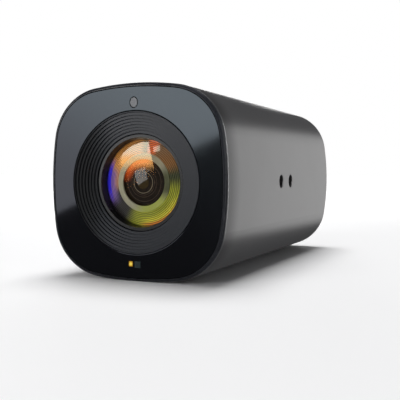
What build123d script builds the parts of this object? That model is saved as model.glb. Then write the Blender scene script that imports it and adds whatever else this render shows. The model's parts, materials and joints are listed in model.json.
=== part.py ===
from build123d import *
import os
from math import asin, atan2, cos, pi, sin, sqrt

# Box-type zoom camera. Millimetres, +Z up, lens looking along -Y.
# Origin: middle of the footprint, on the bottom flat.
# "Distance" always means how far a thing lies behind the front face.
# Places across the camera are (x, z) pairs counted from the optical axis.

# ---- Driving dimensions: housing ----
body_width = 72.0
body_length = 141.0
side_radius = 118.5          # long side arcs of the rounded-square section
corner_radius = 20.9         # corner arcs, tangent to the side arcs
bottom_flat = 0.4            # depth of the flat that the camera stands on
wall = 2.2
tube_start = 1.7             # the bezel covers the tube in front of this
tube_front_chamfer = 0.25
tube_rear_chamfer = 0.4
rail_width = 32.0            # flat rails inside the floor and the ceiling
rail_reach = 31.5            # from the axis to each rail's face
rail_sink = 1.9              # rails and pads end inside the wall, this far from its outside
side_pad_sink = 1.5
boss_place = 24.5            # screw channels in the four corners
boss_radius = 4.4
boss_hole = 1.5
boss_start = 7.0
boss_end = 136.0

# ---- Driving dimensions: camera threads (1/4 inch, 20 per inch; bore at the thread crests) ----
thread_bore = 2.6
thread_chamfer = 0.3
side_thread_distances = (61.5, 74.7)
side_thread_depth = 5.5
side_pad_length = 30.0
side_pad_height = 14.0
side_pad_face = 29.0
tripod_insert_radius = 4.5
tripod_insert_height = 7.5
tripod_thread_depth = 6.3
tripod_boss_radius = 8.0

# ---- Driving dimensions: front ----
bezel_round = 1.15
bezel_screw_hole = 1.6
bezel_screw_sink = 2.9       # countersink and head radii
bezel_screw_head = 2.7
bezel_screw_cone = 1.2
bezel_screw_length = 14.0
main_screw_radius = 1.45     # shank of the screws in the corner channels
plug_inset = 2.4             # bezel and rear panel, from the outer face, where they enter the tube
panel_inset = 1.3
panel_pocket_inset = 1.22
panel_thickness = 1.4
panel_chamfer = 0.3
panel_hole = 25.9
notch_radius = 0.8
baffle_radius = 25.75
baffle_land = 0.35
baffle_bore = 17.95
baffle_steps = 7
baffle_depth = 3.6
baffle_flange = 27.0
flange_start = 1.45
flange_end = 3.0
flange_clearance = 0.1
flange_shoulder = 25.9       # opening behind the flange
baffle_end = 9.0
baffle_bore_wall = 1.35
pipe_height = 28.9           # oval status light pipe, above the lens
pipe_radii = (1.4, 1.75)
led_place = (-1.5, -29.4)
led_size = (1.6, 1.9)
ir_place = (1.27, -29.6)
ir_size = (2.5, 2.5)
window_start = 0.02          # just behind the panel's face
window_clearance = 0.05
window_end = 4.2             # light pipes end here, in front of their boards
led_face = 4.4
led_chip = 1.5
receiver_size = (2.4, 2.4)
board_face = 5.6
small_board = (16.0, 4.6, 1.0)
small_board_height = 29.2
small_board_room = (1.0, 0.6)
gasket_start = 3.4
gasket_width = 1.4
gasket_inner_inset = 3.4
groove_clearance = 0.05
groove_lip = 0.2

# ---- Driving dimensions: lens block ----
frame_radius = 26.0
front_plate = (14.0, 16.5)
middle_plate = (44.0, 46.0)
rear_plate = (80.0, 82.5)
strut_place = 15.2
strut_radius = 2.0
rod_radius = 1.0
rod_height = 14.5
screw_radius = 1.2
screw_x = -20.0
screw_z = 6.5
screw_lead = 2.0
motor_radius = 4.0
small_shaft = 0.8            # shaft radius of the iris and filter motors
fit = 0.05                   # radial clearance of a running fit
iris_motor_x = 16.0
iris_pin_reach = 5.0
blade_thickness = 0.4
blade_starts = (46.3, 47.0)   # lower and upper
iris_arm_start = 47.8
iris_arm_thickness = 0.8
iris_pin = 0.5
filter_travel = 9.6
lever_length = 9.0
lever_z = -15.5

# ---- Driving dimensions: electronics and rear ----
board_size = (52.0, 38.0)
board_thickness = 1.6
spreader_start = 98.0
spreader_thickness = 2.0
spreader_foot = (28.0, 14.0)  # width and length against the ceiling rail
pad_end = 102.0
main_board_start = 104.0
interface_board_start = 124.0
standoff_grid = (46.6, 28.0)
standoff_hole = 1.3
rear_panel_thickness = 2.5
rear_groove_start = 136.55
rear_screw_hole = 1.6
rear_screw_head = 2.75
rear_screw_head_height = 2.0
rear_screw_length = 12.0
lan_place = (-11.0, -9.5)
video_place = (-10.0, 9.0)
data_place = (14.0, 8.5)
power_place = (15.5, -10.0)
audio_place = (3.5, -10.0)
reset_place = (1.5, 9.0)
socket_end = 139.0

half_width = body_width / 2
axis_height = half_width - bottom_flat
rear_panel_end = boss_end + rear_panel_thickness
main_board_end = main_board_start + board_thickness
interface_board_end = interface_board_start + board_thickness

pieces = {}


def depth(distance):
    """Y of a point this far behind the front face."""
    return distance - body_length / 2


def facing(distance):
    """Plane across the camera: local x is +X, local y is +Z, and the normal looks forwards."""
    return Plane(origin=(0, depth(distance), axis_height), x_dir=(1, 0, 0), z_dir=(0, -1, 0))


def outline(inset=0.0):
    """Draw the housing section in the active BuildLine: four side arcs and four corner arcs."""
    side_centre = half_width - side_radius
    corner_centre = (side_centre + sqrt(2 * (side_radius - corner_radius) ** 2 - side_centre ** 2)) / 2
    half_angle = atan2(corner_centre, corner_centre - side_centre)
    side = side_radius - inset
    corner = corner_radius - inset
    for quarter in range(4):
        def on_side(angle):
            return Vector(side_centre + side * cos(angle), side * sin(angle)).rotate(Axis.Z, 90 * quarter)

        def on_corner(angle):
            point = Vector(corner_centre + corner * cos(angle), corner_centre + corner * sin(angle))
            return point.rotate(Axis.Z, 90 * quarter)

        ThreePointArc(on_side(-half_angle), on_side(0), on_side(half_angle))
        ThreePointArc(on_side(half_angle), on_corner(pi / 4), on_corner(pi / 2 - half_angle))


def turned(profile, x=0.0, z=0.0):
    """Revolve (radius, distance) points about the line through (x, z) that runs along the camera."""
    height = axis_height + z
    with BuildPart() as piece:
        with BuildSketch(Plane.XY.offset(height)):
            with BuildLine():
                Polyline([(x + radius, depth(distance)) for radius, distance in profile], close=True)
            make_face()
        revolve(axis=Axis((x, 0, height), (0, 1, 0)))
    return piece


def sagitta(radius, curve):
    """How far back a spherical surface lies at this radius; a negative curve leans forwards."""
    if curve == 0:
        return 0.0
    return (abs(curve) - sqrt(curve ** 2 - radius ** 2)) * (1 if curve > 0 else -1)


def lens(rim, front, front_curve, back, back_curve):
    """Glass element between two spherical surfaces with their apexes at front and back."""
    def surface(apex, curve):
        ends = [(radius, depth(apex + sagitta(radius, curve))) for radius in (0, rim / 2, rim)]
        if curve == 0:
            Line(ends[0], ends[2])
        else:
            ThreePointArc(*ends)
        return ends[0], ends[2]

    with BuildPart() as piece:
        with BuildSketch(Plane.XY.offset(axis_height)):
            with BuildLine():
                front_middle, front_rim = surface(front, front_curve)
                back_middle, back_rim = surface(back, back_curve)
                Line(front_rim, back_rim)
                Line(front_middle, back_middle)
            make_face()
        revolve(axis=Axis((0, 0, axis_height), (0, 1, 0)))
    return piece


def block(start, end, size, place=(0.0, 0.0)):
    """Plain rectangular piece between two distances."""
    with BuildPart() as piece:
        with BuildSketch(facing(start)):
            with Locations(place):
                Rectangle(*size)
        extrude(amount=start - end)
    return piece


def grid_places(width, height):
    """The four corners of a rectangle about the axis."""
    return [(i * width / 2, k * height / 2) for i in (-1, 1) for k in (-1, 1)]


# Holes where the lens bracket is screwed to the floor rail, as (x, y)
bracket_screw_x = 11.0
bracket_screw_distances = (24.0, 76.0)
bracket_hole_radius = 1.25
bracket_hole_depth = 3.1
bracket_floor_places = [(i * bracket_screw_x, depth(k)) for i in (-1, 1) for k in bracket_screw_distances]
corner_places = grid_places(2 * boss_place, 2 * boss_place)

# ---- Housing tube: extrusion with corner screw channels, rails, side threads and a tripod boss ----
with BuildPart() as housing_tube:
    with BuildSketch(facing(tube_start)):
        with BuildLine():
            outline()
        make_face()
    extrude(amount=tube_start - body_length)
    chamfer(housing_tube.faces().sort_by(Axis.Y)[0].edges(), length=tube_front_chamfer)
    chamfer(housing_tube.faces().sort_by(Axis.Y)[-1].edges(), length=tube_rear_chamfer)
    with BuildSketch(facing(tube_start)):
        with BuildLine():
            outline(wall)
        make_face()
    extrude(amount=tube_start - body_length, mode=Mode.SUBTRACT)
    rail_height = half_width - rail_sink - rail_reach
    with BuildSketch(facing(boss_start)):
        with Locations(*corner_places):
            Circle(boss_radius)
        with Locations((0, rail_reach + rail_height / 2), (0, -rail_reach - rail_height / 2)):
            Rectangle(rail_width, rail_height)
    extrude(amount=boss_start - boss_end)
    with BuildSketch(facing(sum(side_thread_distances) / 2 - side_pad_length / 2)):
        pad_depth = half_width - side_pad_sink - side_pad_face
        with Locations((side_pad_face + pad_depth / 2, 0), (-side_pad_face - pad_depth / 2, 0)):
            Rectangle(pad_depth, side_pad_height)
    extrude(amount=-side_pad_length)
    with BuildSketch(Plane.XY.offset(bottom_flat)):
        Circle(tripod_boss_radius)
    extrude(amount=tripod_insert_height - bottom_flat)
    with BuildSketch(facing(boss_start)):
        with Locations(*corner_places):
            Circle(boss_hole)
    extrude(amount=boss_start - boss_end, mode=Mode.SUBTRACT)
    for side in (-1, 1):
        for distance in side_thread_distances:
            mouth = Plane(origin=(side * half_width, depth(distance), axis_height), z_dir=(side, 0, 0))
            with BuildSketch(mouth):
                Circle(thread_bore)
            extrude(amount=-side_thread_depth, mode=Mode.SUBTRACT)
            with BuildSketch(mouth):
                Circle(thread_bore + thread_chamfer)
            extrude(amount=-thread_chamfer, taper=45, mode=Mode.SUBTRACT)
    with BuildSketch(Plane.XY):
        Circle(tripod_insert_radius)
    extrude(amount=tripod_insert_height, mode=Mode.SUBTRACT)
    with BuildSketch(Plane.XY.offset(axis_height - rail_reach)):
        with Locations(*bracket_floor_places):
            Circle(bracket_hole_radius)
    extrude(amount=-bracket_hole_depth, mode=Mode.SUBTRACT)
    split(bisect_by=Plane.XY, keep=Keep.TOP)
pieces["housing_tube"] = housing_tube

# ---- Tripod insert: steel bush pressed into the floor ----
with BuildPart() as tripod_insert:
    with BuildSketch(Plane.XY):
        Circle(tripod_insert_radius)
    extrude(amount=tripod_insert_height)
    with BuildSketch(Plane.XY):
        Circle(thread_bore)
    extrude(amount=tripod_thread_depth, mode=Mode.SUBTRACT)
    with BuildSketch(Plane.XY):
        Circle(thread_bore + thread_chamfer)
    extrude(amount=thread_chamfer, taper=45, mode=Mode.SUBTRACT)
pieces["tripod_insert"] = tripod_insert

# ---- Front bezel: rounded rim, pocket for the panel, plug that enters the tube ----
with BuildPart() as front_bezel:
    with BuildSketch(facing(0)):
        with BuildLine():
            outline()
        make_face()
    extrude(amount=-tube_start)
    fillet(front_bezel.faces().sort_by(Axis.Y)[0].edges(), radius=bezel_round)
    with BuildSketch(facing(tube_start)):
        with BuildLine():
            outline(plug_inset)
        make_face()
    extrude(amount=tube_start - boss_start)
    with BuildSketch(facing(0)):
        with BuildLine():
            outline(panel_pocket_inset)
        make_face()
    extrude(amount=-panel_thickness, mode=Mode.SUBTRACT)
    with BuildSketch(facing(panel_thickness)):
        Circle(baffle_flange + flange_clearance)
    extrude(amount=panel_thickness - flange_end - fit, mode=Mode.SUBTRACT)
    with BuildSketch(facing(flange_end)):
        Circle(flange_shoulder)
    extrude(amount=flange_end - boss_start, mode=Mode.SUBTRACT)
    with BuildSketch(facing(panel_thickness)):
        with Locations((0, pipe_height)):
            Ellipse(pipe_radii[0] + window_clearance, pipe_radii[1] + window_clearance)
        with Locations(led_place):
            Rectangle(led_size[0] + 2 * window_clearance, led_size[1] + 2 * window_clearance)
        with Locations(ir_place):
            Rectangle(ir_size[0] + 2 * window_clearance, ir_size[1] + 2 * window_clearance)
    extrude(amount=panel_thickness - window_end, mode=Mode.SUBTRACT)
    with BuildSketch(facing(window_end)):
        with Locations((0, small_board_height), (0, -small_board_height)):
            Rectangle(small_board[0] + small_board_room[0], small_board[1] + small_board_room[1])
    extrude(amount=window_end - boss_start, mode=Mode.SUBTRACT)
    with BuildSketch(facing(gasket_start)):
        with BuildLine():
            outline(plug_inset - groove_lip)
        make_face()
        with BuildLine(mode=Mode.PRIVATE) as groove_floor:
            outline(gasket_inner_inset)
        make_face(groove_floor.edges(), mode=Mode.SUBTRACT)
    extrude(amount=-gasket_width, mode=Mode.SUBTRACT)
    with Locations(facing(panel_thickness)):
        with Locations(*corner_places):
            CounterSinkHole(radius=bezel_screw_hole, counter_sink_radius=bezel_screw_sink, depth=boss_start)
    split(bisect_by=Plane.XY, keep=Keep.TOP)
pieces["front_bezel"] = front_bezel

# ---- Front panel: gloss sheet with the round opening, three small windows and an edge notch ----
with BuildPart() as front_panel:
    with BuildSketch(facing(0)):
        with BuildLine():
            outline(panel_inset)
        make_face()
    extrude(amount=-panel_thickness)
    chamfer(front_panel.faces().sort_by(Axis.Y)[0].edges(), length=panel_chamfer)
    with BuildSketch(facing(0)):
        Circle(panel_hole)
        with Locations((0, half_width - panel_inset)):
            Circle(notch_radius)
        with Locations((0, pipe_height)):
            Ellipse(pipe_radii[0] + window_clearance, pipe_radii[1] + window_clearance)
        with Locations(led_place):
            Rectangle(led_size[0] + 2 * window_clearance, led_size[1] + 2 * window_clearance)
        with Locations(ir_place):
            Rectangle(ir_size[0] + 2 * window_clearance, ir_size[1] + 2 * window_clearance)
    extrude(amount=-panel_thickness, mode=Mode.SUBTRACT)
pieces["front_panel"] = front_panel

# ---- Lens baffle: terraced cone, locating flange and dark bore ----
step_width = (baffle_radius - baffle_land - baffle_bore) / baffle_steps
step_depth = baffle_depth / baffle_steps
terraces = [(baffle_radius, 0.0)]
for step in range(baffle_steps):
    riser = baffle_radius - baffle_land - step * step_width
    terraces.append((riser, step * step_depth))
    terraces.append((riser, (step + 1) * step_depth))
baffle_back = [
    (baffle_bore, baffle_depth), (baffle_bore, baffle_end),
    (baffle_bore + baffle_bore_wall, baffle_end), (baffle_bore + baffle_bore_wall, 5.2),
    (baffle_radius - fit, 4.2), (baffle_radius - fit, flange_end),
    (baffle_flange, flange_end), (baffle_flange, flange_start), (baffle_radius, flange_start),
]
pieces["lens_baffle"] = turned(terraces + baffle_back)

# ---- Light pipes and windows in the panel ----
with BuildPart() as status_light_pipe:
    with BuildSketch(facing(window_start)):
        with Locations((0, pipe_height)):
            Ellipse(*pipe_radii)
    extrude(amount=window_start - window_end)
pieces["status_light_pipe"] = status_light_pipe
pieces["indicator_lens"] = block(window_start, window_end, led_size, led_place)
pieces["ir_window"] = block(window_start, window_end, ir_size, ir_place)

# ---- Small boards behind the windows, with their LEDs and the infrared receiver ----
with BuildPart() as indicator_boards:
    with BuildSketch(facing(board_face)):
        with Locations((0, small_board_height), (0, -small_board_height)):
            Rectangle(*small_board[:2])
    extrude(amount=-small_board[2])
pieces["indicator_boards"] = indicator_boards
with BuildPart() as indicator_leds:
    with BuildSketch(facing(led_face)):
        with Locations((0, pipe_height), led_place):
            Rectangle(led_chip, led_chip)
    extrude(amount=led_face - board_face)
pieces["indicator_leds"] = indicator_leds
pieces["ir_receiver"] = block(led_face, board_face, receiver_size, ir_place)

# ---- Gaskets: rubber loops in the grooves of the bezel and of the rear panel ----
def gasket(start, end):
    """Rubber loop that fills the gap between a groove floor and the tube's inner wall."""
    with BuildPart() as piece:
        with BuildSketch(facing(start)):
            with BuildLine():
                outline(wall)
            make_face()
            with BuildLine(mode=Mode.PRIVATE) as inner:
                outline(gasket_inner_inset)
            make_face(inner.edges(), mode=Mode.SUBTRACT)
        extrude(amount=start - end)
    return piece


for name, groove_start in (("front_gasket", gasket_start), ("rear_gasket", rear_groove_start)):
    pieces[name] = gasket(groove_start + groove_clearance, groove_start + gasket_width - groove_clearance)

# ---- Bezel screws: countersunk, under the panel, into the corner channels ----
with BuildPart() as bezel_screws:
    with BuildSketch(facing(panel_thickness + 0.1)):
        with Locations(*corner_places):
            Circle(bezel_screw_head)
    extrude(amount=-bezel_screw_cone, taper=45)
    with BuildSketch(facing(panel_thickness + 0.1)):
        with Locations(*corner_places):
            Circle(main_screw_radius)
    extrude(amount=-bezel_screw_length)
pieces["bezel_screws"] = bezel_screws

# ---- Front of the lens: retaining ring, two elements, ridged cell and light aperture ring ----
# The inner parts stand close behind the front glass, as its power makes them look nearer.
element_rim = 16.9
ring_outer = 17.7
ring_start = 4.2
ring_end = 8.8
pieces["retaining_ring"] = turned(
    [(ring_outer, ring_start), (16.5, ring_start), (16.05, 7.35),
     (element_rim + fit, 7.56), (element_rim + fit, ring_end), (ring_outer, ring_end)]
)
pieces["front_element"] = lens(rim=element_rim, front=5.7, front_curve=76.0, back=6.3, back_curve=74.0)
ridge_count = 8
ridge_inner = 10.9
ridge_outer = 16.1
ridge_start = 7.4            # the ridged face leans back towards its rim
ridge_fall = 0.85
ridge_pitch = (ridge_outer - ridge_inner) / ridge_count
ridge_crest = 0.6            # share of the pitch
ridge_depth = 0.2
ridges = []
for ridge in range(ridge_count):
    crest = ridge_inner + ridge * ridge_pitch
    crest_end = crest + ridge_crest * ridge_pitch
    crest_distance = ridge_start + ridge_fall * (ridge + 1) / ridge_count
    ridges.append((crest, crest_distance))
    ridges.append((crest_end, crest_distance))
    ridges.append((crest_end, crest_distance + ridge_depth))
    ridges.append((crest + ridge_pitch, crest_distance + ridge_depth))
cell_seat = 8.3              # where the front element's rim rests
cell_bore = 9.65
cell_spigot = 13.2
inner_seat = 12.05
cell_body = [
    (ridge_outer, cell_seat), (element_rim, cell_seat), (element_rim, ring_end + fit),
    (ring_outer - 0.1, ring_end + fit), (ring_outer - 0.1, 11.5), (21.0, 11.5), (21.0, front_plate[0]),
    (cell_spigot, front_plate[0]), (cell_spigot, 17.0), (8.4, 17.0), (8.4, inner_seat),
    (cell_bore, inner_seat), (cell_bore, 7.65), (ridge_inner, 7.65),
]
pieces["lens_cell"] = turned(ridges + cell_body)
pieces["aperture_ring"] = turned([(10.85, 7.2), (8.7, 7.0), (8.7, 7.6), (10.85, 7.6)])
pieces["second_element"] = lens(rim=9.6, front=6.6, front_curve=24.0, back=12.0, back_curve=0.0)

# ---- Lens frame: three round plates on four struts, with rails and posts for the rear parts ----
rod_places = [(0, rod_height), (0, -rod_height)]
post_places = grid_places(23.0, 32.0)
ear_screw_places = [(-5.0, -23.5), (5.0, -23.5)]
small_screw_hole = 1.0
post_radius = 2.0
post_end = 88.6
post_hole_depth = 4.0
screw_sink = 1.0             # how far the lead screws' ends enter the plates
focus_screw_sink = 0.8
middle_opening = 7.0
rear_opening = 6.0
iris_guide_places = [(-12.5, 3.0), (-12.5, -3.0)]
iris_guide_radius = 0.6
iris_guide_height = 1.7
filter_rail_places = [(0, 6.8), (0, -9.8)]
filter_rail = (29.0, 1.2)
filter_rail_height = 2.1
rod_hole_play = 0.02
rod_end_inset = 0.2
with BuildPart() as lens_frame:
    openings = (cell_spigot + fit, middle_opening, rear_opening)
    for (start, end), opening in zip((front_plate, middle_plate, rear_plate), openings):
        with BuildSketch(facing(start)):
            Circle(frame_radius)
            Circle(opening, mode=Mode.SUBTRACT)
        extrude(amount=start - end)
    with BuildSketch(facing(front_plate[1])):
        with Locations(*grid_places(2 * strut_place, 2 * strut_place)):
            Circle(strut_radius)
    extrude(amount=front_plate[1] - rear_plate[0])
    with BuildSketch(facing(middle_plate[1])):
        with Locations(*iris_guide_places):
            Circle(iris_guide_radius)
    extrude(amount=-iris_guide_height)
    with BuildSketch(facing(rear_plate[1])):
        with Locations(*filter_rail_places):
            Rectangle(*filter_rail)
    extrude(amount=-filter_rail_height)
    with BuildSketch(facing(rear_plate[1])):
        with Locations(*post_places):
            Circle(post_radius)
    extrude(amount=rear_plate[1] - post_end)
    with BuildSketch(facing(front_plate[0])):
        with Locations(*rod_places):
            Circle(rod_radius + rod_hole_play)
        with Locations(*ear_screw_places):
            Circle(small_screw_hole)
    extrude(amount=front_plate[0] - rear_plate[1], mode=Mode.SUBTRACT)
    with BuildSketch(facing(front_plate[0] + screw_sink)):
        with Locations((screw_x, screw_z)):
            Circle(screw_radius + fit)
    extrude(amount=front_plate[0] + screw_sink - middle_plate[1], mode=Mode.SUBTRACT)
    with BuildSketch(facing(middle_plate[0] + focus_screw_sink)):
        with Locations((screw_x, -screw_z)):
            Circle(screw_radius + fit)
    extrude(amount=middle_plate[0] + focus_screw_sink - rear_plate[1], mode=Mode.SUBTRACT)
    with BuildSketch(facing(post_end)):
        with Locations(*post_places):
            Circle(small_screw_hole)
    extrude(amount=post_hole_depth, mode=Mode.SUBTRACT)
pieces["lens_frame"] = lens_frame
with BuildPart() as guide_rods:
    with BuildSketch(facing(front_plate[0] + rod_end_inset)):
        with Locations(*rod_places):
            Circle(rod_radius)
    extrude(amount=front_plate[0] - rear_plate[1] + 2 * rod_end_inset)
pieces["guide_rods"] = guide_rods


# ---- Zoom and focus: carriage, glass, lead screw and motor for each ----
sleeve_radius = 2.3
nut_radius = 2.4
arm_width = 4.0
thread_groove = (0.4, 0.25)   # half width and depth
motor_chamfer = 0.6
motor_bore_depth = 4.3
screw_tail = 4.0              # length of each lead screw inside its motor


def carriage(start, ring_radius, bore, ring_depth, sleeve_depth, nut_z):
    """Ring on two sleeves that run on the guide rods, with an arm that holds the nut."""
    ring_start = start + (sleeve_depth - ring_depth) / 2
    arm_length = -screw_x - bore
    with BuildPart() as piece:
        with BuildSketch(facing(ring_start)):
            Circle(ring_radius)
            Rectangle(arm_width, 2 * rod_height)
            with Locations((screw_x + arm_length / 2, nut_z)):
                Rectangle(arm_length, arm_width)
            with Locations((screw_x, nut_z)):
                Circle(nut_radius)
            Circle(bore, mode=Mode.SUBTRACT)
        extrude(amount=-ring_depth)
        with BuildSketch(facing(start)):
            with Locations(*rod_places):
                Circle(sleeve_radius)
        extrude(amount=-sleeve_depth)
        with BuildSketch(facing(start)):
            with Locations(*rod_places):
                Circle(rod_radius + fit)
            with Locations((screw_x, nut_z)):
                Circle(screw_radius + fit)
        extrude(amount=-sleeve_depth, mode=Mode.SUBTRACT)
    return piece


def lead_screw(start, end, z):
    """Threaded rod, its thread shown as shallow ring grooves one lead apart."""
    profile = [(0.0, start), (screw_radius, start)]
    grooves = int((end - start - 8.0) / screw_lead)
    for groove in range(grooves):
        middle = start + 3.0 + groove * screw_lead
        profile.append((screw_radius, middle - thread_groove[0]))
        profile.append((screw_radius - thread_groove[1], middle))
        profile.append((screw_radius, middle + thread_groove[0]))
    profile.append((screw_radius, end))
    profile.append((0.0, end))
    return turned(profile, x=screw_x, z=z)


def stepper(start, end, x, z, bore, bore_depth):
    """Round motor with a blind bearing bore in its front face."""
    profile = [
        (bore, start), (motor_radius, start), (motor_radius, end - motor_chamfer),
        (motor_radius - motor_chamfer, end), (0.0, end), (0.0, start + bore_depth), (bore, start + bore_depth),
    ]
    return turned(profile, x=x, z=z)


pieces["zoom_carriage"] = carriage(17.2, 10.5, 8.0, 4.0, 8.0, screw_z)
pieces["zoom_lens"] = lens(rim=7.95, front=19.6, front_curve=-30.0, back=22.8, back_curve=26.0)
pieces["zoom_screw"] = lead_screw(front_plate[0] + 1.2, middle_plate[1] + screw_tail, screw_z)
pieces["zoom_motor"] = stepper(middle_plate[1], 55.0, screw_x, screw_z, screw_radius + fit, motor_bore_depth)
pieces["focus_carriage"] = carriage(50.0, 9.5, 6.5, 4.0, 7.0, -screw_z)
pieces["focus_lens"] = lens(rim=6.45, front=51.6, front_curve=22.0, back=55.6, back_curve=-30.0)
pieces["focus_screw"] = lead_screw(middle_plate[0] + 1.0, rear_plate[1] + screw_tail, -screw_z)
pieces["focus_motor"] = stepper(rear_plate[1], 91.0, screw_x, -screw_z, screw_radius + fit, motor_bore_depth)


# ---- Iris: two notched blades that slide apart, a two-pin arm and its motor ----
pin_slot = (2.4, 1.3)         # length and width
guide_slot = (12.2, 1.36)
arm_tip = 2.4
blade_tab_end = 1.8
iris_shaft_length = 2.6


def iris_blade(start, direction, arm_end):
    """Blade with a right-angled notch; direction is 1 for the upper blade and -1 for the lower one."""
    notch = 3.8
    reach = 10.0
    left = -14.0
    right = 10.6
    outer = 9.5
    tab_width = 4.0
    with BuildPart() as piece:
        with BuildSketch(facing(start)):
            with BuildLine():
                Polyline(
                    (left, direction * outer), (right, direction * outer),
                    (right, direction * (notch - reach)), (reach, direction * (notch - reach)), (0, direction * notch),
                    (-reach, direction * (notch - reach)), (left, direction * (notch - reach - 1.2)),
                    close=True,
                )
            make_face()
            with Locations(((reach + arm_end) / 2, 0)):
                Rectangle(arm_end - reach, tab_width)
            with Locations((iris_motor_x - direction * iris_pin_reach, 0)):
                SlotOverall(*pin_slot, mode=Mode.SUBTRACT)
            with Locations((iris_guide_places[0][0], 0)):
                SlotOverall(*guide_slot, rotation=90, mode=Mode.SUBTRACT)
        extrude(amount=-blade_thickness)
    return piece


pieces["iris_blade_lower"] = iris_blade(blade_starts[0], -1, iris_motor_x + iris_pin_reach + blade_tab_end)
pieces["iris_blade_upper"] = iris_blade(blade_starts[1], 1, iris_motor_x - iris_pin_reach + blade_tab_end)
with BuildPart() as iris_arm:
    with BuildSketch(facing(iris_arm_start)):
        with Locations((iris_motor_x, 0)):
            SlotCenterToCenter(2 * iris_pin_reach, arm_tip)
    extrude(amount=-iris_arm_thickness)
    for pin_x, pin_end in ((iris_motor_x - iris_pin_reach, 46.85), (iris_motor_x + iris_pin_reach, 46.15)):
        with BuildSketch(facing(pin_end)):
            with Locations((pin_x, 0)):
                Circle(iris_pin)
        extrude(amount=pin_end - iris_arm_start)
    with BuildSketch(facing(iris_arm_start + iris_arm_thickness)):
        with Locations((iris_motor_x, 0)):
            Circle(small_shaft)
    extrude(amount=-iris_shaft_length)
pieces["iris_arm"] = iris_arm
pieces["iris_motor"] = stepper(48.8, 57.0, iris_motor_x, 0.0, small_shaft + fit, 2.8)

# ---- Infrared-cut filter: sliding frame with two windows, its glass, lever and motor ----
filter_start = 83.0
filter_end = 84.6
filter_window = (8.0, 8.0)
filter_glass_sink = 0.4
filter_sheet = (20.0, 15.0)
filter_sheet_z = -1.5
lever_slot = (1.7, 3.8)
lever_slot_z = -7.4
lever_width = 1.8
lever_thickness = 0.6
lever_gap = 0.2
lever_hub = 1.5
lever_tip = 1.0
lever_pin = 0.6
lever_shaft_length = 2.0
filter_motor_start = 85.7
filter_motor_radius = 3.0
filter_bore_end = 87.6
window_offset = filter_travel / 2
filter_x = -window_offset
with BuildPart() as filter_frame:
    with BuildSketch(facing(filter_start)):
        with Locations((filter_x, filter_sheet_z)):
            Rectangle(*filter_sheet)
        with Locations((filter_x - window_offset, 0), (filter_x + window_offset, 0)):
            Rectangle(*filter_window, mode=Mode.SUBTRACT)
        with Locations((filter_x, lever_slot_z)):
            Rectangle(*lever_slot, mode=Mode.SUBTRACT)
    extrude(amount=filter_start - filter_end)
pieces["filter_frame"] = filter_frame
pieces["filter_glass"] = block(
    filter_start + filter_glass_sink, filter_end - filter_glass_sink, filter_window
)
lever_angle = asin(window_offset / lever_length)
pin_place = (-lever_length * sin(lever_angle), lever_z + lever_length * cos(lever_angle))
with BuildPart() as filter_lever:
    with BuildSketch(facing(filter_end + lever_gap)):
        with Locations((0, lever_z)):
            Circle(lever_hub)
        with Locations(pin_place):
            Circle(lever_tip)
        with Locations((pin_place[0] / 2, (lever_z + pin_place[1]) / 2)):
            Rectangle(lever_width, lever_length, rotation=lever_angle * 180 / pi)
    extrude(amount=-lever_thickness)
    with BuildSketch(facing(filter_start + lever_gap)):
        with Locations(pin_place):
            Circle(lever_pin)
    extrude(amount=filter_start - filter_end)
    with BuildSketch(facing(filter_end + lever_gap + lever_thickness)):
        with Locations((0, lever_z)):
            Circle(small_shaft)
    extrude(amount=-lever_shaft_length)
pieces["filter_lever"] = filter_lever
pieces["filter_motor"] = turned(
    [(small_shaft + fit, filter_motor_start), (filter_motor_radius, filter_motor_start),
     (filter_motor_radius, post_end), (0.0, post_end),
     (0.0, filter_bore_end), (small_shaft + fit, filter_bore_end)],
    z=lever_z,
)

# ---- Sensor, its board and the board's screws ----
sensor_board_size = (28.0, 38.0)
sensor_board_end = post_end + 1.4
sensor_start = 87.0
screw_clearance_hole = 1.1
small_screw_head = 1.8
small_screw_head_height = 1.2
small_screw_shank = 0.95
sensor_screw_length = 4.6
pieces["image_sensor"] = block(sensor_start, post_end, (9.0, 8.0))
with BuildPart() as sensor_board:
    with BuildSketch(facing(post_end)):
        Rectangle(*sensor_board_size)
        with Locations(*post_places):
            Circle(screw_clearance_hole, mode=Mode.SUBTRACT)
    extrude(amount=post_end - sensor_board_end)
pieces["sensor_board"] = sensor_board


def pan_screws(seat, length, head_radius, head_height, shank_radius, places, towards=-1):
    """Pan-head screws seated at one distance, shanks pointing to the front (-1) or the rear (1)."""
    with BuildPart() as piece:
        with BuildSketch(facing(seat)):
            with Locations(*places):
                Circle(head_radius)
        extrude(amount=towards * head_height)
        with BuildSketch(facing(seat)):
            with Locations(*places):
                Circle(shank_radius)
        extrude(amount=-towards * length)
    return piece


pieces["sensor_screws"] = pan_screws(
    sensor_board_end, sensor_screw_length, small_screw_head, small_screw_head_height, small_screw_shank,
    post_places,
)

# ---- Lens bracket: sheet-metal tray with two ears, screwed to the floor rail and to the lens frame ----
sheet = 1.5
tray_width = 28.0
ear_size = (18.0, 10.0)
ear_height = -26.5
tray_screw_hole = 1.3
tray_screw_head = (2.2, 1.6)  # radius and height
tray_screw_shank = (1.2, 4.4)
frame_screw_length = 3.8
with BuildPart() as lens_bracket:
    with BuildSketch(Plane.XY.offset(axis_height - rail_reach)):
        with Locations((0, depth((front_plate[0] + rear_plate[1]) / 2))):
            Rectangle(tray_width, rear_plate[1] - front_plate[0] + 2 * sheet)
        Circle(tripod_boss_radius + 0.5, mode=Mode.SUBTRACT)
        with Locations(*bracket_floor_places):
            Circle(tray_screw_hole, mode=Mode.SUBTRACT)
    extrude(amount=sheet)
    for ear_start in (front_plate[0] - sheet, rear_plate[1]):
        with BuildSketch(facing(ear_start)):
            with Locations((0, ear_height)):
                Rectangle(*ear_size)
            with Locations(*ear_screw_places):
                Circle(screw_clearance_hole, mode=Mode.SUBTRACT)
        extrude(amount=-sheet)
pieces["lens_bracket"] = lens_bracket
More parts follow.
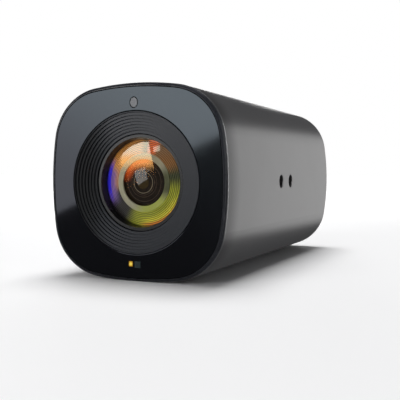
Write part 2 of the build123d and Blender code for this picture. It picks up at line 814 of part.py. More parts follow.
with BuildPart() as bracket_screws:
    with BuildSketch(Plane.XY.offset(axis_height - rail_reach + sheet)):
        with Locations(*bracket_floor_places):
            Circle(tray_screw_head[0])
    extrude(amount=tray_screw_head[1])
    with BuildSketch(Plane.XY.offset(axis_height - rail_reach + sheet)):
        with Locations(*bracket_floor_places):
            Circle(tray_screw_shank[0])
    extrude(amount=-tray_screw_shank[1])
pieces["bracket_screws"] = bracket_screws
with BuildPart() as frame_screws:
    for seat, towards in ((front_plate[0] - sheet, 1), (rear_plate[1] + sheet, -1)):
        with BuildSketch(facing(seat)):
            with Locations(*ear_screw_places):
                Circle(small_screw_head)
        extrude(amount=towards * small_screw_head_height)
        with BuildSketch(facing(seat)):
            with Locations(*ear_screw_places):
                Circle(small_screw_shank)
        extrude(amount=-towards * frame_screw_length)
pieces["frame_screws"] = frame_screws

# ---- Electronics stack: heat spreader, pad, processor, main board and interface board ----
standoff_places = grid_places(*standoff_grid)
standoff_radius = 2.2
standoff_bore = 1.25
with BuildPart() as heat_spreader:
    with BuildSketch(facing(spreader_start)):
        Rectangle(*board_size)
        with Locations((0, (board_size[1] / 2 + rail_reach) / 2)):
            Rectangle(spreader_foot[0], rail_reach - board_size[1] / 2)
        with Locations(*standoff_places):
            Circle(standoff_hole, mode=Mode.SUBTRACT)
    extrude(amount=-spreader_thickness)
    with BuildSketch(facing(spreader_start)):
        with Locations((0, rail_reach - spreader_thickness / 2)):
            Rectangle(spreader_foot[0], spreader_thickness)
    extrude(amount=-spreader_foot[1])
pieces["heat_spreader"] = heat_spreader
pieces["thermal_pad"] = block(spreader_start + spreader_thickness, pad_end, (14.0, 14.0))
pieces["processor"] = block(pad_end, main_board_start, (15.0, 15.0))


def circuit_board(start, end):
    """Board on four corner standoffs."""
    with BuildPart() as piece:
        with BuildSketch(facing(start)):
            Rectangle(*board_size)
            with Locations(*standoff_places):
                Circle(standoff_hole, mode=Mode.SUBTRACT)
        extrude(amount=start - end)
    return piece


pieces["main_board"] = circuit_board(main_board_start, main_board_end)
pieces["interface_board"] = circuit_board(interface_board_start, interface_board_end)
standoff_spans = (
    (spreader_start + spreader_thickness, main_board_start),
    (main_board_end, interface_board_start),
    (interface_board_end, boss_end),
)
with BuildPart() as standoffs:
    for start, end in standoff_spans:
        with BuildSketch(facing(start)):
            with Locations(*standoff_places):
                RegularPolygon(standoff_radius, 6)
                Circle(standoff_bore, mode=Mode.SUBTRACT)
        extrude(amount=start - end)
pieces["standoffs"] = standoffs
pieces["board_connector"] = block(main_board_end, interface_board_start, (16.0, 4.0), (0, -15.0))
flex_gap = 0.2                # from each board's face to the middle of the film
flex_width = 12.0
flex_thickness = 0.3
flex_low = -23.0
with BuildPart() as flex_cable:
    with BuildSketch(Plane.YZ.offset(-flex_width / 2)):
        with BuildLine():
            FilletPolyline(
                (depth(sensor_board_end + flex_gap), axis_height - 8.0),
                (depth(sensor_board_end + flex_gap), axis_height + flex_low),
                (depth(main_board_start - flex_gap), axis_height + flex_low),
                (depth(main_board_start - flex_gap), axis_height - 12.0),
                radius=2.5,
            )
        trace(line_width=flex_thickness)
    extrude(amount=flex_width)
pieces["flex_cable"] = flex_cable

# ---- Rear panel: recessed plate with cut-outs for the sockets and the reset button ----
lan_size = (16.0, 13.5)
video_size = (15.0, 5.8)
data_size = (9.2, 3.6)
power_radius = 4.5
audio_radius = 3.0
button_radius = 1.2
socket_gap = 0.2             # all round each rectangular socket
round_socket_gap = 0.15
with BuildPart() as rear_panel:
    with BuildSketch(facing(boss_end)):
        with BuildLine():
            outline(plug_inset)
        make_face()
        for place, size in ((lan_place, lan_size), (video_place, video_size), (data_place, data_size)):
            with Locations(place):
                Rectangle(size[0] + 2 * socket_gap, size[1] + 2 * socket_gap, mode=Mode.SUBTRACT)
        for place, radius in ((power_place, power_radius), (audio_place, audio_radius)):
            with Locations(place):
                Circle(radius + round_socket_gap, mode=Mode.SUBTRACT)
        with Locations(reset_place):
            Circle(button_radius + fit, mode=Mode.SUBTRACT)
        with Locations(*corner_places):
            Circle(rear_screw_hole, mode=Mode.SUBTRACT)
    extrude(amount=-rear_panel_thickness)
    with BuildSketch(facing(rear_groove_start)):
        with BuildLine():
            outline(plug_inset - groove_lip)
        make_face()
        with BuildLine(mode=Mode.PRIVATE) as rear_groove_floor:
            outline(gasket_inner_inset)
        make_face(rear_groove_floor.edges(), mode=Mode.SUBTRACT)
    extrude(amount=-gasket_width, mode=Mode.SUBTRACT)
pieces["rear_panel"] = rear_panel
pieces["rear_screws"] = pan_screws(
    rear_panel_end, rear_screw_length, rear_screw_head, rear_screw_head_height, main_screw_radius,
    corner_places,
)

# ---- Sockets on the interface board ----
lan_opening = (11.8, 8.4)
lan_latch = (6.4, 2.6)
lan_depth = 12.0
lan_contact = (0.4, 0.9)
lan_contact_start = 2.0
lan_pitch = 1.02
tongue_start = 0.8
video_depth = 9.0
video_tongue = (10.8, 1.2)
data_round = 1.75
data_opening = (8.4, 2.7)
data_opening_round = 1.3
data_depth = 7.0
data_tongue = (6.2, 0.7)
power_bore = 3.2
power_pin = 1.0
power_depth = 9.5
audio_bore = 1.8
audio_depth = 12.0
with BuildPart() as lan_socket:
    with BuildSketch(facing(interface_board_end)):
        with Locations(lan_place):
            Rectangle(*lan_size)
    extrude(amount=interface_board_end - socket_end)
    with BuildSketch(facing(socket_end)):
        with Locations((lan_place[0], lan_place[1] + 0.8)):
            Rectangle(*lan_opening)
        with Locations((lan_place[0], lan_place[1] - 4.4)):
            Rectangle(*lan_latch)
    extrude(amount=lan_depth, mode=Mode.SUBTRACT)
    with BuildSketch(facing(socket_end - lan_contact_start)):
        with Locations((lan_place[0], lan_place[1] + 4.6)):
            with GridLocations(lan_pitch, 1, 8, 1):
                Rectangle(*lan_contact)
    extrude(amount=lan_depth - lan_contact_start)
pieces["lan_socket"] = lan_socket
with BuildPart() as video_socket:
    with BuildSketch(facing(interface_board_end)):
        with Locations(video_place):
            Rectangle(*video_size)
    extrude(amount=interface_board_end - socket_end)
    with BuildSketch(facing(socket_end)):
        with Locations(video_place):
            Polygon((-7.0, 2.3), (7.0, 2.3), (7.0, -0.4), (5.1, -2.3), (-5.1, -2.3), (-7.0, -0.4), align=None)
    extrude(amount=video_depth, mode=Mode.SUBTRACT)
    with BuildSketch(facing(socket_end - tongue_start)):
        with Locations((video_place[0], video_place[1] + 0.3)):
            Rectangle(*video_tongue)
    extrude(amount=video_depth - tongue_start)
pieces["video_socket"] = video_socket
with BuildPart() as data_socket:
    with BuildSketch(facing(interface_board_end)):
        with Locations(data_place):
            RectangleRounded(*data_size, data_round)
    extrude(amount=interface_board_end - socket_end)
    with BuildSketch(facing(socket_end)):
        with Locations(data_place):
            RectangleRounded(*data_opening, data_opening_round)
    extrude(amount=data_depth, mode=Mode.SUBTRACT)
    with BuildSketch(facing(socket_end - tongue_start)):
        with Locations(data_place):
            Rectangle(*data_tongue)
    extrude(amount=data_depth - tongue_start)
pieces["data_socket"] = data_socket
with BuildPart() as power_jack:
    with BuildSketch(facing(interface_board_end)):
        with Locations(power_place):
            Circle(power_radius)
    extrude(amount=interface_board_end - socket_end)
    with BuildSketch(facing(socket_end)):
        with Locations(power_place):
            Circle(power_bore)
            Circle(power_pin, mode=Mode.SUBTRACT)
    extrude(amount=power_depth, mode=Mode.SUBTRACT)
pieces["power_jack"] = power_jack
with BuildPart() as audio_jack:
    with BuildSketch(facing(interface_board_end)):
        with Locations(audio_place):
            Circle(audio_radius)
    extrude(amount=interface_board_end - socket_end)
    with BuildSketch(facing(socket_end)):
        with Locations(audio_place):
            Circle(audio_bore)
    extrude(amount=audio_depth, mode=Mode.SUBTRACT)
pieces["audio_jack"] = audio_jack

# ---- Reset button and the switch that it presses ----
pieces["reset_switch"] = block(interface_board_end, interface_board_end + 3.5, (4.5, 4.5), reset_place)
pieces["reset_button"] = turned(
    [(0.0, 129.8), (1.0, 129.8), (1.0, 135.0), (2.0, 135.0), (2.0, 135.9), (button_radius, 135.9),
     (button_radius, 139.1), (1.0, 139.3), (0.0, 139.3)],
    x=reset_place[0], z=reset_place[1],
)

# ---- Write every piece as its own node ----
os.makedirs("parts", exist_ok=True)
for name, piece in pieces.items():
    piece.part.label = name
    export_step(piece.part, f"parts/{name}.step")
print(len(pieces), "pieces written")
print("lens axis height", round(axis_height, 3), "lever angle", round(lever_angle * 180 / pi, 3))
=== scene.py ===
# %% [markdown]
# # A box zoom camera for a security system
# The real camera is an extruded aluminium tube about as long as a hand, closed by a glossy black face
# in front and a connector plate behind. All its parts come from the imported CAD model, which is loaded
# here as a fixed frame. Most parts keep their CAD mesh and only get a finish. The parts that are seen
# from nearest, such as the face, the lens and the sockets, are modelled again with finer edges.

# %% Load the frame
import json
import math

import bmesh
import bpy
from mathutils import Matrix, Vector


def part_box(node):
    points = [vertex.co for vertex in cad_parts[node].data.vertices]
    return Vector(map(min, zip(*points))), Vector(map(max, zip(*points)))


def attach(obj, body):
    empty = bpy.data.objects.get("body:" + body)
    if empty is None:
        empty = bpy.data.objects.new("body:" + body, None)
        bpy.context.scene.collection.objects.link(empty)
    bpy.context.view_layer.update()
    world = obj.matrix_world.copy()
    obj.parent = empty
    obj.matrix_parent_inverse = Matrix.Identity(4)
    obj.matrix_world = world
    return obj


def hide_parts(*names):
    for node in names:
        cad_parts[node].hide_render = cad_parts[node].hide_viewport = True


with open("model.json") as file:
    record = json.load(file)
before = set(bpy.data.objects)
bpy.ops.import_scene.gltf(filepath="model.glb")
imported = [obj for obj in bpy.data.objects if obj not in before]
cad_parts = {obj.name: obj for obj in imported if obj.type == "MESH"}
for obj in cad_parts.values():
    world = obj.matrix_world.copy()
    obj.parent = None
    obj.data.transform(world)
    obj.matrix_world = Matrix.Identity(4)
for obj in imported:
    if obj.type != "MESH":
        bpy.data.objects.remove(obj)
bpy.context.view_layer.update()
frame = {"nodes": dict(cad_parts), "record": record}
nodes = frame["nodes"]

# %% [markdown]
# The maker's drawing is in millimetres, counted from the front face and from the lens axis. Both come
# from the frame: the bezel's box gives the front face, and the aperture ring is centred on the axis.
# One function turns a drawing place into a point of the frame, so every later size is a plain number
# from a drawing. Written out in metres from the floor, the same sizes would be hard to check.

# %% The drawing's own measure
MM = 0.001
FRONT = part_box("front_bezel")[0].y
AXIS = (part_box("aperture_ring")[0].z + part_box("aperture_ring")[1].z) / 2
INTO = Vector((0, 1, 0))


def at(across, distance, up):
    """The point that many millimetres right of the lens axis, behind the face and above the axis."""
    return Vector((across * MM, FRONT + distance * MM, AXIS + up * MM))


print("front face at", round(FRONT, 4), "axis at", round(AXIS, 4))

# %% [markdown]
# ## The camera's view
# A small product is shot with a short telephoto lens from a little to its right, so that the face and
# one long side both show. A wide lens would stretch the near corner. The camera is set before
# anything is made, because every finish is judged through it.

# %% Camera
VIEW_PLACE = (0.12184, -0.28270, 0.03930)
VIEW_DIP, VIEW_TURN = math.radians(2.325), math.radians(24.284)
FOCAL_LENGTH = 60.83

camera = bpy.data.cameras.new("studio_camera")
camera.lens = FOCAL_LENGTH
viewer = bpy.data.objects.new("studio_camera", camera)
viewer.location = VIEW_PLACE
viewer.rotation_euler = (math.pi / 2 - VIEW_DIP, 0, VIEW_TURN)
bpy.context.scene.collection.objects.link(viewer)
bpy.context.scene.camera = viewer
bpy.context.scene.view_settings.view_transform = "Standard"
print("camera looks from", VIEW_PLACE, "through a lens of", FOCAL_LENGTH, "mm")

# %% [markdown]
# ## Shader maths
# A finish is a small network of nodes. Linking Math nodes by hand takes many lines and hides what is
# being worked out, so one class wraps a socket and gives it Python's operators. `1 - mask` then adds
# a Subtract node. Colours are mixed by one method of their own, because a Math node would turn them
# grey.

# %% A socket that does maths
def calculation(operation, swap=False):
    """An operator's method, which adds the Math node that does that operation."""
    def method(self, other=0.0):
        pair = (other, self) if swap else (self, other)
        return self.finish.node("Math", {"operation": operation}, dict(enumerate(pair)))
    return method


class Shade:
    """A value that changes over the surface: one output socket of a finish's network."""

    def __init__(self, finish, socket):
        self.finish, self.socket = finish, socket

    __add__, __radd__ = calculation("ADD"), calculation("ADD")
    __sub__, __rsub__ = calculation("SUBTRACT"), calculation("SUBTRACT", swap=True)
    __mul__, __rmul__ = calculation("MULTIPLY"), calculation("MULTIPLY")
    __truediv__, __abs__ = calculation("DIVIDE"), calculation("ABSOLUTE")
    root, sine = calculation("SQRT"), calculation("SINE")
    angle, largest = calculation("ARCTAN2"), calculation("MAXIMUM")

    def step(self, low, high):
        """0 below low, 1 above high, and a smooth rise between them."""
        return self.finish.node(
            "MapRange", {"interpolation_type": "SMOOTHSTEP"}, {0: self, 1: low, 2: high, 3: 0.0, 4: 1.0})

    def band(self, middle, width, edge):
        """1 within half the width of the middle, fading to 0 over the edge."""
        return 1 - abs(self - middle).step(width / 2, width / 2 + edge)


print("shader maths ready")

# %% [markdown]
# A finish starts from Blender's Principled shader. Constant sockets are set straight on it. What
# varies comes from Object coordinates, which don't stretch over a CAD mesh and need no unwrapping.

# %% A finish
class Finish:
    """One material: constants on the Principled shader, and methods that add patterns to it."""

    def __init__(self, name, **constants):
        self.material = bpy.data.materials.new(name)
        self.material.use_nodes = True
        self.tree = self.material.node_tree
        self.shader = self.tree.nodes["Principled BSDF"]
        self.where = self.node("TexCoord", {}, {}, "Object")
        for socket, value in constants.items():
            self.set(socket, value)

    def join(self, value, socket):
        """Links a shade to a socket, or sets the socket to a number or a colour."""
        if isinstance(value, Shade):
            self.tree.links.new(value.socket, socket)
        elif isinstance(value, tuple) and len(value) == 3 and socket.type == "RGBA":
            socket.default_value = (*value, 1)
        else:
            socket.default_value = value

    def node(self, kind, settings, inputs, output=0):
        """Adds a node, with its settings first and then its inputs, and returns one output."""
        made = self.tree.nodes.new("ShaderNode" + kind)
        for key, value in settings.items():
            setattr(made, key, value)
        for key, value in inputs.items():
            self.join(value, made.inputs[key])
        return Shade(self, made.outputs[output])

    def set(self, name, value):
        """Sets or links the shader's socket, named as a keyword: base_color is Base Color."""
        self.join(value, self.shader.inputs[name.replace("_", " ").title()])

    def place(self, about=Vector((0, 0, 0))):
        """Across, into and up, in millimetres from a point."""
        moved = self.node("VectorMath", {"operation": "SUBTRACT"}, {0: self.where, 1: about})
        return [self.node("SeparateXYZ", {}, {0: moved}, k) * (1 / MM) for k in range(3)]

    def around(self, middle=(0, 0)):
        """Distance in millimetres from a line into the camera, and the angle round it in degrees."""
        across, _, up = self.place(at(middle[0], 0, middle[1]))
        return (across * across + up * up).root(), up.angle(across) * (180 / math.pi)

    def noise(self, size, detail=3.0, stretch=(1, 1, 1)):
        """A cloudy pattern with features of about that many millimetres, longer along some axes."""
        flat = self.node("Mapping", {}, {"Vector": self.where, "Scale": stretch})
        return self.node("TexNoise", {}, {"Vector": flat, "Scale": 1 / (size * MM), "Detail": detail})

    def mix(self, share, first, second):
        """A colour that goes from first to second as share goes from 0 to 1."""
        return self.node("Mix", {"data_type": "RGBA"}, {0: share, 6: first, 7: second}, 2)

    def bump(self, height, depth):
        """Fine relief: height goes from 0 to 1 and stands for that many millimetres."""
        relief = self.node("Bump", {}, {"Height": height, "Distance": depth * MM, "Strength": 1.0})
        self.join(relief, self.shader.inputs["Normal"])


print("finishes can be made")

# %% [markdown]
# Most of the camera is either moulded or drawn metal, and these two finishes differ in their pattern.
# A moulding tool leaves an even grain, and drawing leaves long scratches. Each is one function, so
# that a part only states its colour and gloss. Both carry wide, faint clouds as well, because a real
# surface is never one even tone.

# %% Moulded and drawn finishes
MOULDED_CLOUDS, DRAWN_CLOUDS = 9, 12
GLOSS_SPREAD, SCRATCH_SPREAD, CLOUD_SPREAD = 0.18, 0.2, 0.1


def moulded(name, colour, roughness=0.5, grain=0.35, depth=0.012):
    """Moulded plastic, rubber or a cast finish: fine grain, with slightly uneven colour and gloss."""
    finish = Finish(name)
    clouds, fine = finish.noise(MOULDED_CLOUDS), finish.noise(grain)
    lighter = tuple(min(1, part * 1.25 + 0.004) for part in colour)
    finish.set("base_color", finish.mix(clouds, colour, lighter))
    finish.set("roughness", roughness + GLOSS_SPREAD * (fine - 0.5) + CLOUD_SPREAD * (clouds - 0.5))
    finish.bump(fine, depth)
    return finish


def brushed(name, colour, roughness=0.3, scratch=0.25, depth=0.004):
    """Drawn or turned metal: long fine scratches from left to right and a faint change of tone."""
    finish = Finish(name, metallic=1.0)
    clouds, lines = finish.noise(DRAWN_CLOUDS), finish.noise(scratch, stretch=(0.08, 1, 1))
    darker = tuple(part * 0.78 for part in colour)
    finish.set("base_color", finish.mix(lines, darker, colour))
    finish.set("roughness", roughness + SCRATCH_SPREAD * (lines - 0.5) + CLOUD_SPREAD * (clouds - 0.5))
    finish.bump(lines, depth)
    return finish


print("moulded parts vary in roughness by about", GLOSS_SPREAD / 2, "either way")

# %% [markdown]
# ## Shaping pieces
# Nearly all of the front is round, so it is turned as on a lathe: half of the section is drawn as a
# loop of corners and spun a full turn about the lens axis. A real lathe part has no knife edges, so
# each corner is bevelled a few hundredths of a millimetre, and that thin bevel is what catches the
# light. The alternative, a cylinder for each step, would leave hidden walls between them.

# %% From a mesh in work to a finished piece
SEAM, SLIVER = 0.0005 * MM, 0.0002 * MM


def edges_above(mesh, degrees):
    """The edges where two faces meet at more than that angle."""
    return [edge for edge in mesh.edges
            if len(edge.link_faces) == 2 and edge.calc_face_angle(0) > math.radians(degrees)]


def soften(mesh, width, degrees=40, segments=2):
    """Bevels the sharp edges, that many millimetres wide."""
    sharp = edges_above(mesh, degrees)
    bmesh.ops.bevel(mesh, geom=sharp, offset=width * MM, segments=segments, profile=0.5,
                    affect="EDGES", material=-1, clamp_overlap=True)


def closed(mesh):
    """Merges the points along the seams and turns the faces outwards."""
    bmesh.ops.remove_doubles(mesh, verts=mesh.verts, dist=SEAM)
    bmesh.ops.recalc_face_normals(mesh, faces=mesh.faces)


def finished(name, mesh, finish, replaced=(), body="housing", smooth_below=12):
    """Cleans the mesh, shades it smooth below an angle and hands the piece to the frame."""
    bmesh.ops.remove_doubles(mesh, verts=mesh.verts, dist=SEAM)
    bmesh.ops.dissolve_degenerate(mesh, edges=mesh.edges, dist=SLIVER)
    bmesh.ops.recalc_face_normals(mesh, faces=mesh.faces)
    for face in mesh.faces:
        face.smooth = True
    for edge in edges_above(mesh, smooth_below):
        edge.smooth = False
    data = bpy.data.meshes.new(name)
    mesh.to_mesh(data)
    mesh.free()
    data.materials.append(finish.material)
    piece = bpy.data.objects.new(name, data)
    bpy.context.scene.collection.objects.link(piece)
    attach(piece, body)
    if replaced:
        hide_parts(*replaced)
    print(name, "has", len(data.polygons), "faces")


print("points closer than", round(SEAM / MM, 5), "mm are merged")

# %% Turning
TURN_STEPS = 192


def turned_on(mesh, corners, middle=(0, 0), steps=TURN_STEPS):
    """Spins a closed loop of (radius, distance) corners about a line into the camera.

    An edge that lies on that line is left out, because turned it would be a face with no width.
    """
    across, up = middle
    loop = [mesh.verts.new(at(across + radius, distance, up)) for radius, distance in corners]
    drawn = [mesh.edges.new((one, other)) for one, other, (radius, _), (beyond, _)
             in zip(loop, loop[1:] + loop[:1], corners, corners[1:] + corners[:1])
             if radius or beyond]
    bmesh.ops.spin(mesh, geom=loop + drawn, cent=at(across, 0, up), axis=INTO,
                   angle=math.tau, steps=steps, use_merge=True)


def turned(corners, bevel=0.0, degrees=40):
    """A new mesh, turned about the lens axis, with its corners bevelled."""
    mesh = bmesh.new()
    turned_on(mesh, corners)
    closed(mesh)
    if bevel:
        soften(mesh, bevel, degrees)
    return mesh


print("one step of a full turn is", 360 / TURN_STEPS, "degrees")

# %% [markdown]
# ## The stepped baffle
# Round the lens sits a cone of seven steps. Each step throws stray light back out instead of into
# the glass. It is moulded in a satin grey-black, with painted shade on the left, where the wall of the
# cone turns away from the lamps: a deeper black there. All the steps are one section, worked out from
# the mouth, the bore and the count, and the bevel on their corners shows as fine pale rings.

# %% Baffle
MOUTH_RADIUS, BORE_RADIUS = 25.4, 17.95
BAFFLE_LAND, BAFFLE_STEPS, BAFFLE_FALL = 0.35, 7, 3.6
BORE_END, BAFFLE_SKIRT, BAFFLE_BEVEL = 9.0, 19.3, 0.06
FLANGE_RADIUS, FLANGE_START, FLANGE_END = 27.0, 1.45, 3.0

tread = (MOUTH_RADIUS - BORE_RADIUS) / BAFFLE_STEPS
fall = BAFFLE_FALL / BAFFLE_STEPS
corners = [(MOUTH_RADIUS, 0)]
for step in range(BAFFLE_STEPS):
    radius = MOUTH_RADIUS - step * tread
    corners += [(radius, (step + 1) * fall), (radius - tread, (step + 1) * fall)]
corners += [(BORE_RADIUS, BORE_END), (BAFFLE_SKIRT, BORE_END), (BAFFLE_SKIRT, FLANGE_END),
            (FLANGE_RADIUS, FLANGE_END), (FLANGE_RADIUS, FLANGE_START),
            (MOUTH_RADIUS + BAFFLE_LAND, FLANGE_START), (MOUTH_RADIUS + BAFFLE_LAND, 0)]

satin = moulded("baffle_satin", (0.016, 0.018, 0.023), roughness=0.36, grain=0.25, depth=0.004)
across, into, up = satin.place(at(0, 0, 0))
# Painted shade: the left of the cone is darker, where its wall turns away from the lamps.
shaded = 1 - across.step(-22, -8)
satin.set("base_color", satin.mix(shaded, (0.016, 0.019, 0.026), (0.004, 0.0045, 0.006)))
satin.set("roughness", 0.34 + 0.25 * shaded + 0.06 * satin.noise(0.3))
finished("stepped_baffle", turned(corners, bevel=BAFFLE_BEVEL), satin, ["lens_baffle"])

# %% [markdown]
# ## The face panel
# The glossy face is a clear-black acrylic plate with a polished bevel all round. Its outline is eight
# arcs: long shallow ones for the sides and tight ones for the corners. Each arc is one vertex spun
# about the arc's centre, so the outline stays as exact as the drawing. The lens opening and the oval
# are left out by filling between loops, and the plate gets its thickness from one extrusion. Its black
# is painted a little lighter towards the upper right, a painted reflection of a bright room.

# %% Outline and window loops
SIDE_ARC, SIDE_CENTRE, SIDE_STEPS = 118.5, 82.5, 24
CORNER_CENTRE, CORNER_STEPS = 14.08, 32
SIDE_HALF_TURN = math.atan(CORNER_CENTRE / (CORNER_CENTRE + SIDE_CENTRE))


def arc_on(mesh, tip, centre, turn, steps):
    """Draws an arc from a vertex, clockwise from the front, and returns the vertex at its end."""
    drawn = bmesh.ops.spin(mesh, geom=[tip], cent=centre, axis=INTO, angle=turn, steps=steps)
    return next(part for part in drawn["geom_last"] if isinstance(part, bmesh.types.BMVert))


def outline_on(mesh, inset, distance):
    """The tube's outline as a wire loop, moved inwards by inset."""
    side = SIDE_ARC - inset
    start = Vector((-math.sin(SIDE_HALF_TURN), math.cos(SIDE_HALF_TURN))) * side
    tip = mesh.verts.new(at(start.x, distance, start.y - SIDE_CENTRE))
    corner_turn = math.pi / 2 - 2 * SIDE_HALF_TURN
    for quarter in range(4):
        turned_by = Matrix.Rotation(-quarter * math.pi / 2, 2)
        middle = turned_by @ Vector((0, -SIDE_CENTRE))
        tip = arc_on(mesh, tip, at(middle.x, distance, middle.y), 2 * SIDE_HALF_TURN, SIDE_STEPS)
        middle = turned_by @ Vector((CORNER_CENTRE, CORNER_CENTRE))
        tip = arc_on(mesh, tip, at(middle.x, distance, middle.y), corner_turn, CORNER_STEPS)


def circle_on(mesh, across, up, radius, distance, steps=TURN_STEPS):
    """A circle as a wire loop."""
    tip = mesh.verts.new(at(across + radius, distance, up))
    bmesh.ops.spin(mesh, geom=[tip], cent=at(across, distance, up), axis=INTO,
                   angle=math.tau, steps=steps, use_merge=True)


def window_on(mesh, across, up, width, height, distance, steps=48):
    """An oval, as a circle squeezed to the window's width and height."""
    before = set(mesh.verts)
    circle_on(mesh, 0, 0, 1, distance, steps)
    new = [vertex for vertex in mesh.verts if vertex not in before]
    bmesh.ops.scale(mesh, vec=(width / 2, 1, height / 2), space=Matrix.Translation(-at(0, distance, 0)),
                    verts=new)
    bmesh.ops.translate(mesh, vec=(across * MM, 0, up * MM), verts=new)


def filled_between(mesh, thickness):
    """Fills between the loops and extrudes the plate backwards."""
    bmesh.ops.remove_doubles(mesh, verts=mesh.verts, dist=SEAM)
    flat = bmesh.ops.triangle_fill(mesh, use_beauty=True, edges=mesh.edges)
    faces = [part for part in flat["geom"] if isinstance(part, bmesh.types.BMFace)]
    back = bmesh.ops.extrude_face_region(mesh, geom=faces, use_keep_orig=True)
    moved = [part for part in back["geom"] if isinstance(part, bmesh.types.BMVert)]
    bmesh.ops.translate(mesh, vec=(0, thickness * MM, 0), verts=moved)
    bmesh.ops.recalc_face_normals(mesh, faces=mesh.faces)


print("side arcs turn", round(math.degrees(2 * SIDE_HALF_TURN), 2), "degrees")

# %% [markdown]
# The two square windows and the notch in the panel's upper edge are punched out afterwards. Filling
# between loops can't cut into the outline itself, which the notch does, so a Boolean modifier takes
# one closed shape out of another. The same tool opens the mouths of the sockets later on.

# %% Cutting one closed shape out of another
def carved(mesh, cutter):
    """Subtracts the cutter with a Boolean modifier and returns the result as a mesh in work."""
    pair = []
    for part in (mesh, cutter):
        data = bpy.data.meshes.new("carving")
        part.to_mesh(data)
        part.free()
        pair.append(bpy.data.objects.new("carving", data))
        bpy.context.scene.collection.objects.link(pair[-1])
    whole, tool = pair
    cut = whole.modifiers.new("cut", "BOOLEAN")
    cut.operation, cut.solver, cut.object = "DIFFERENCE", "EXACT", tool
    result = bmesh.new()
    result.from_object(whole, bpy.context.evaluated_depsgraph_get())
    for part in pair:
        data = part.data
        bpy.data.objects.remove(part)
        bpy.data.meshes.remove(data)
    return result


def bar(mesh, across, up, width, height, start, end, corner=0.0):
    """A block from start to end behind the face, with rounded long edges if a corner is given."""
    made = bmesh.ops.create_cube(mesh, size=1.0)["verts"]
    bmesh.ops.scale(mesh, vec=(width * MM, (end - start) * MM, height * MM), verts=made)
    bmesh.ops.translate(mesh, vec=at(across, (start + end) / 2, up), verts=made)
    if corner:
        long_edges = [edge for edge in mesh.edges if set(edge.verts) <= set(made)
                      and abs((edge.verts[0].co - edge.verts[1].co).normalized().y) > 0.99]
        bmesh.ops.bevel(mesh, geom=long_edges, offset=corner * MM, segments=5, profile=0.5,
                        affect="EDGES", material=-1)


print("cutting ready")

# %% Face panel
PANEL_INSET, PANEL_THICKNESS, PANEL_BEVEL = 1.3, 1.4, 0.3
PANEL_HOLE = 25.9
PIPE_PLACE, PIPE_SIZE = (0, 28.9), (2.8, 3.5)
LED_PLACE, LED_SIZE = (-1.5, -29.4), (1.6, 1.9)
SENSOR_PLACE, SENSOR_SIZE = (1.27, -29.6), (2.5, 2.5)
NOTCH_PLACE, NOTCH_RADIUS = (0, 34.7), 0.8
WINDOW_GAP, WINDOW_CORNER = 0.05, 0.2
PUNCH_START, PUNCH_END = -1, PANEL_THICKNESS + 1

panel = bmesh.new()
outline_on(panel, PANEL_INSET, 0)
circle_on(panel, 0, 0, PANEL_HOLE, 0)
window_on(panel, *PIPE_PLACE, *(size + 2 * WINDOW_GAP for size in PIPE_SIZE), 0)
filled_between(panel, PANEL_THICKNESS)
soften(panel, PANEL_BEVEL, degrees=60, segments=3)
punch = bmesh.new()
for (across, up), (width, height) in ((LED_PLACE, LED_SIZE), (SENSOR_PLACE, SENSOR_SIZE)):
    bar(punch, across, up, width + 2 * WINDOW_GAP, height + 2 * WINDOW_GAP, PUNCH_START, PUNCH_END,
        WINDOW_CORNER)
turned_on(punch, [(0, PUNCH_START), (NOTCH_RADIUS, PUNCH_START), (NOTCH_RADIUS, PUNCH_END), (0, PUNCH_END)],
          NOTCH_PLACE, steps=32)

gloss = Finish("panel_gloss", metallic=0.8)
across, into, up = gloss.place(at(0, 0, 0))
smears = gloss.noise(30, stretch=(1, 1, 0.4))
# Painted reflection: the black is lighter towards the upper right.
painted_room_reflection = (0.5 * across + up).step(-16, 42)
gloss.set("base_color", gloss.mix(painted_room_reflection, (0.016, 0.0172, 0.0215), (0.034, 0.041, 0.047)))
gloss.set("roughness", 0.045 + 0.05 * smears.step(0.4, 0.8) + 0.02 * gloss.noise(0.6))
finished("face_panel", carved(panel, punch), gloss, ["front_panel"])

# %% [markdown]
# Three small parts stand in the panel's windows. The oval above the lens is the end of a white light
# pipe. Below the lens sit the amber lens of the status lamp and the dark square in front of the
# remote control's receiver, which passes infrared only. Each is a rod with a softened front edge.

# %% Light pipe, lamp lens and receiver window
WINDOW_START, WINDOW_END = 0.02, 4.2
PIPE_EDGE, WINDOW_EDGE = 0.15, 0.12

pipe = bmesh.new()
window_on(pipe, *PIPE_PLACE, *PIPE_SIZE, WINDOW_START)
filled_between(pipe, WINDOW_END - WINDOW_START)
soften(pipe, PIPE_EDGE)
pipe_white = moulded("pipe_white", (0.12, 0.125, 0.135), roughness=0.3, grain=0.5, depth=0.004)
finished("light_pipe", pipe, pipe_white, ["status_light_pipe"])

lamp = bmesh.new()
bar(lamp, *LED_PLACE, *LED_SIZE, WINDOW_START, WINDOW_END, WINDOW_CORNER)
soften(lamp, WINDOW_EDGE, degrees=70)
amber = Finish("yellow_lens", roughness=0.18, emission_strength=0.35)
heart = 1 - amber.around(LED_PLACE)[0].step(0.2, 0.95)
amber.set("base_color", amber.mix(heart, (0.55, 0.30, 0.02), (0.95, 0.72, 0.10)))
amber.set("emission_color", amber.mix(heart, (0.25, 0.10, 0.0), (1.0, 0.72, 0.08)))
amber.bump(amber.noise(0.4), 0.003)
finished("status_lamp_lens", lamp, amber, ["indicator_lens"])

window = bmesh.new()
bar(window, *SENSOR_PLACE, *SENSOR_SIZE, WINDOW_START, WINDOW_END, WINDOW_CORNER)
soften(window, WINDOW_EDGE, degrees=70)
smoked = Finish("ir_dark")
clouds = smoked.noise(1.2)
smoked.set("base_color", smoked.mix(clouds, (0.012, 0.022, 0.024), (0.03, 0.05, 0.05)))
smoked.set("roughness", 0.16 + 0.1 * clouds)
finished("receiver_window", window, smoked, ["ir_window"])
